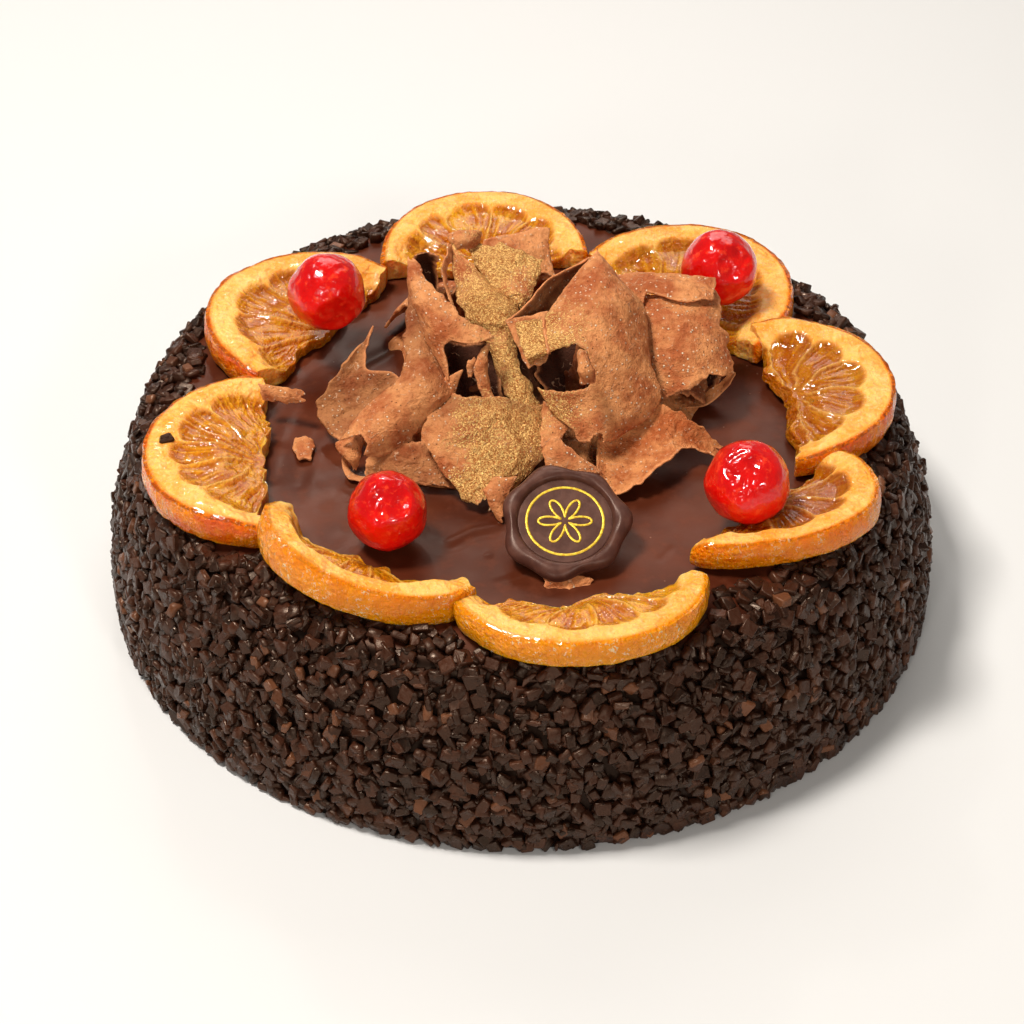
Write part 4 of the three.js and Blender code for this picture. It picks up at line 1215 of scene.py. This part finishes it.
seal_profile = np.array([
    (0.3, 0), (9, 0), (14, 0), (14.9, 0.5), (15.2, 1.3), (15.05, 2.2), (14.5, 3), (13.7, 3.5), (12.9, 3.6),
    (12.1, 3.3), (11.6, 2.75), (11.35, 2.25), (11.1, 2.2), (10.8, 2.25), (6, 2.2), (0.3, 2.2),
])
seal_r, seal_z = path_point(seal_profile, np.linspace(0, 1, 90)).T
seal_turn = all_round(300)
ring_r, ring_turn = np.meshgrid(seal_r, seal_turn, indexing="ij")
rim_share = ease(ring_r, 11.4, 15.2)
lobe = 1 + rim_share * (0.045 * np.cos(7 * ring_turn + 0.6) + 0.03 * np.cos(3 * ring_turn))
seal_points = round_points(ring_r * lobe, -ring_turn, seal_z[:, None])
uneven_rim = 0.25 * ease(ring_r, 12, 13) * random_field(seal_points, 4.5, 31)
seal_points[..., 2] += uneven_rim * ease(seal_points[..., 2], 1, 3)
seal = build_rings("pressed_seal", seat(seal_points))

dark = Finish("pressed_dark_chocolate", IOR=1.46, Specular_IOR_Level=0.36, Specular_Tint=(1, 0.76, 0.62, 1))
sheen = dark.blots(3.5, 3, 0.55)
dark.paint(
    Base_Color=dark.mix(sheen.rise(0.35, 0.7), (70, 40, 32), (88, 54, 43)),
    Roughness=0.3 + 0.18 * sheen,
    Normal=dark.relief(0.1 * sheen + 0.02 * dark.blots(0.5, 2)),
)
seal.data.materials.append(dark.material)
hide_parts("chocolate_seal")
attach(seal, "root")


thread_sides = 10


def raised_line(path, half_width, half_height):
    """A flat thread along a closed path: an ellipse of these half sizes is carried round it, upright."""
    step = unit(np.roll(path, -1, 0) - np.roll(path, 1, 0))
    sideways = np.cross(step, [0, 0, 1.0])
    round_it = all_round(thread_sides)[None, :, None]
    wide = half_width * np.cos(round_it) * sideways[:, None]
    return path[:, None] + (wide + half_height * np.sin(round_it) * np.array([0, 0, 1.0]))


def petals(turn):
    """Radius of a six-petalled rosette: a fine middle, and tips 6.4 mm out."""
    return 1.1 + 5.3 * np.abs(np.cos(3 * turn)) ** 1.3


gilt = Finish("gold_print", Metallic=0.35, Specular_IOR_Level=0.5)
worn = gilt.blots(0.8, 3)
gilt.paint(
    Base_Color=gilt.mix(worn.rise(0.35, 0.65), (206, 160, 30), (240, 206, 60)),
    Roughness=0.3 + 0.2 * worn,
    Normal=gilt.relief(0.03 * worn),
)
line_turn = all_round(360)
face_lift, line_height = 2.24, 0.14
lines = (("seal_ring", 9.2 + 0 * line_turn, 0.34), ("seal_rosette", petals(line_turn), 0.3))
for line_name, line_radius, line_width in lines:
    line_path = round_points(line_radius, line_turn, face_lift)
    thread = seat(raised_line(line_path, line_width, line_height)).reshape(-1, 3)
    gilt_line = build(line_name, thread, grid_faces(len(line_turn) + 1, thread_sides, wrap=True) % len(thread))
    gilt_line.data.materials.append(gilt.material)
    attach(gilt_line, "root")
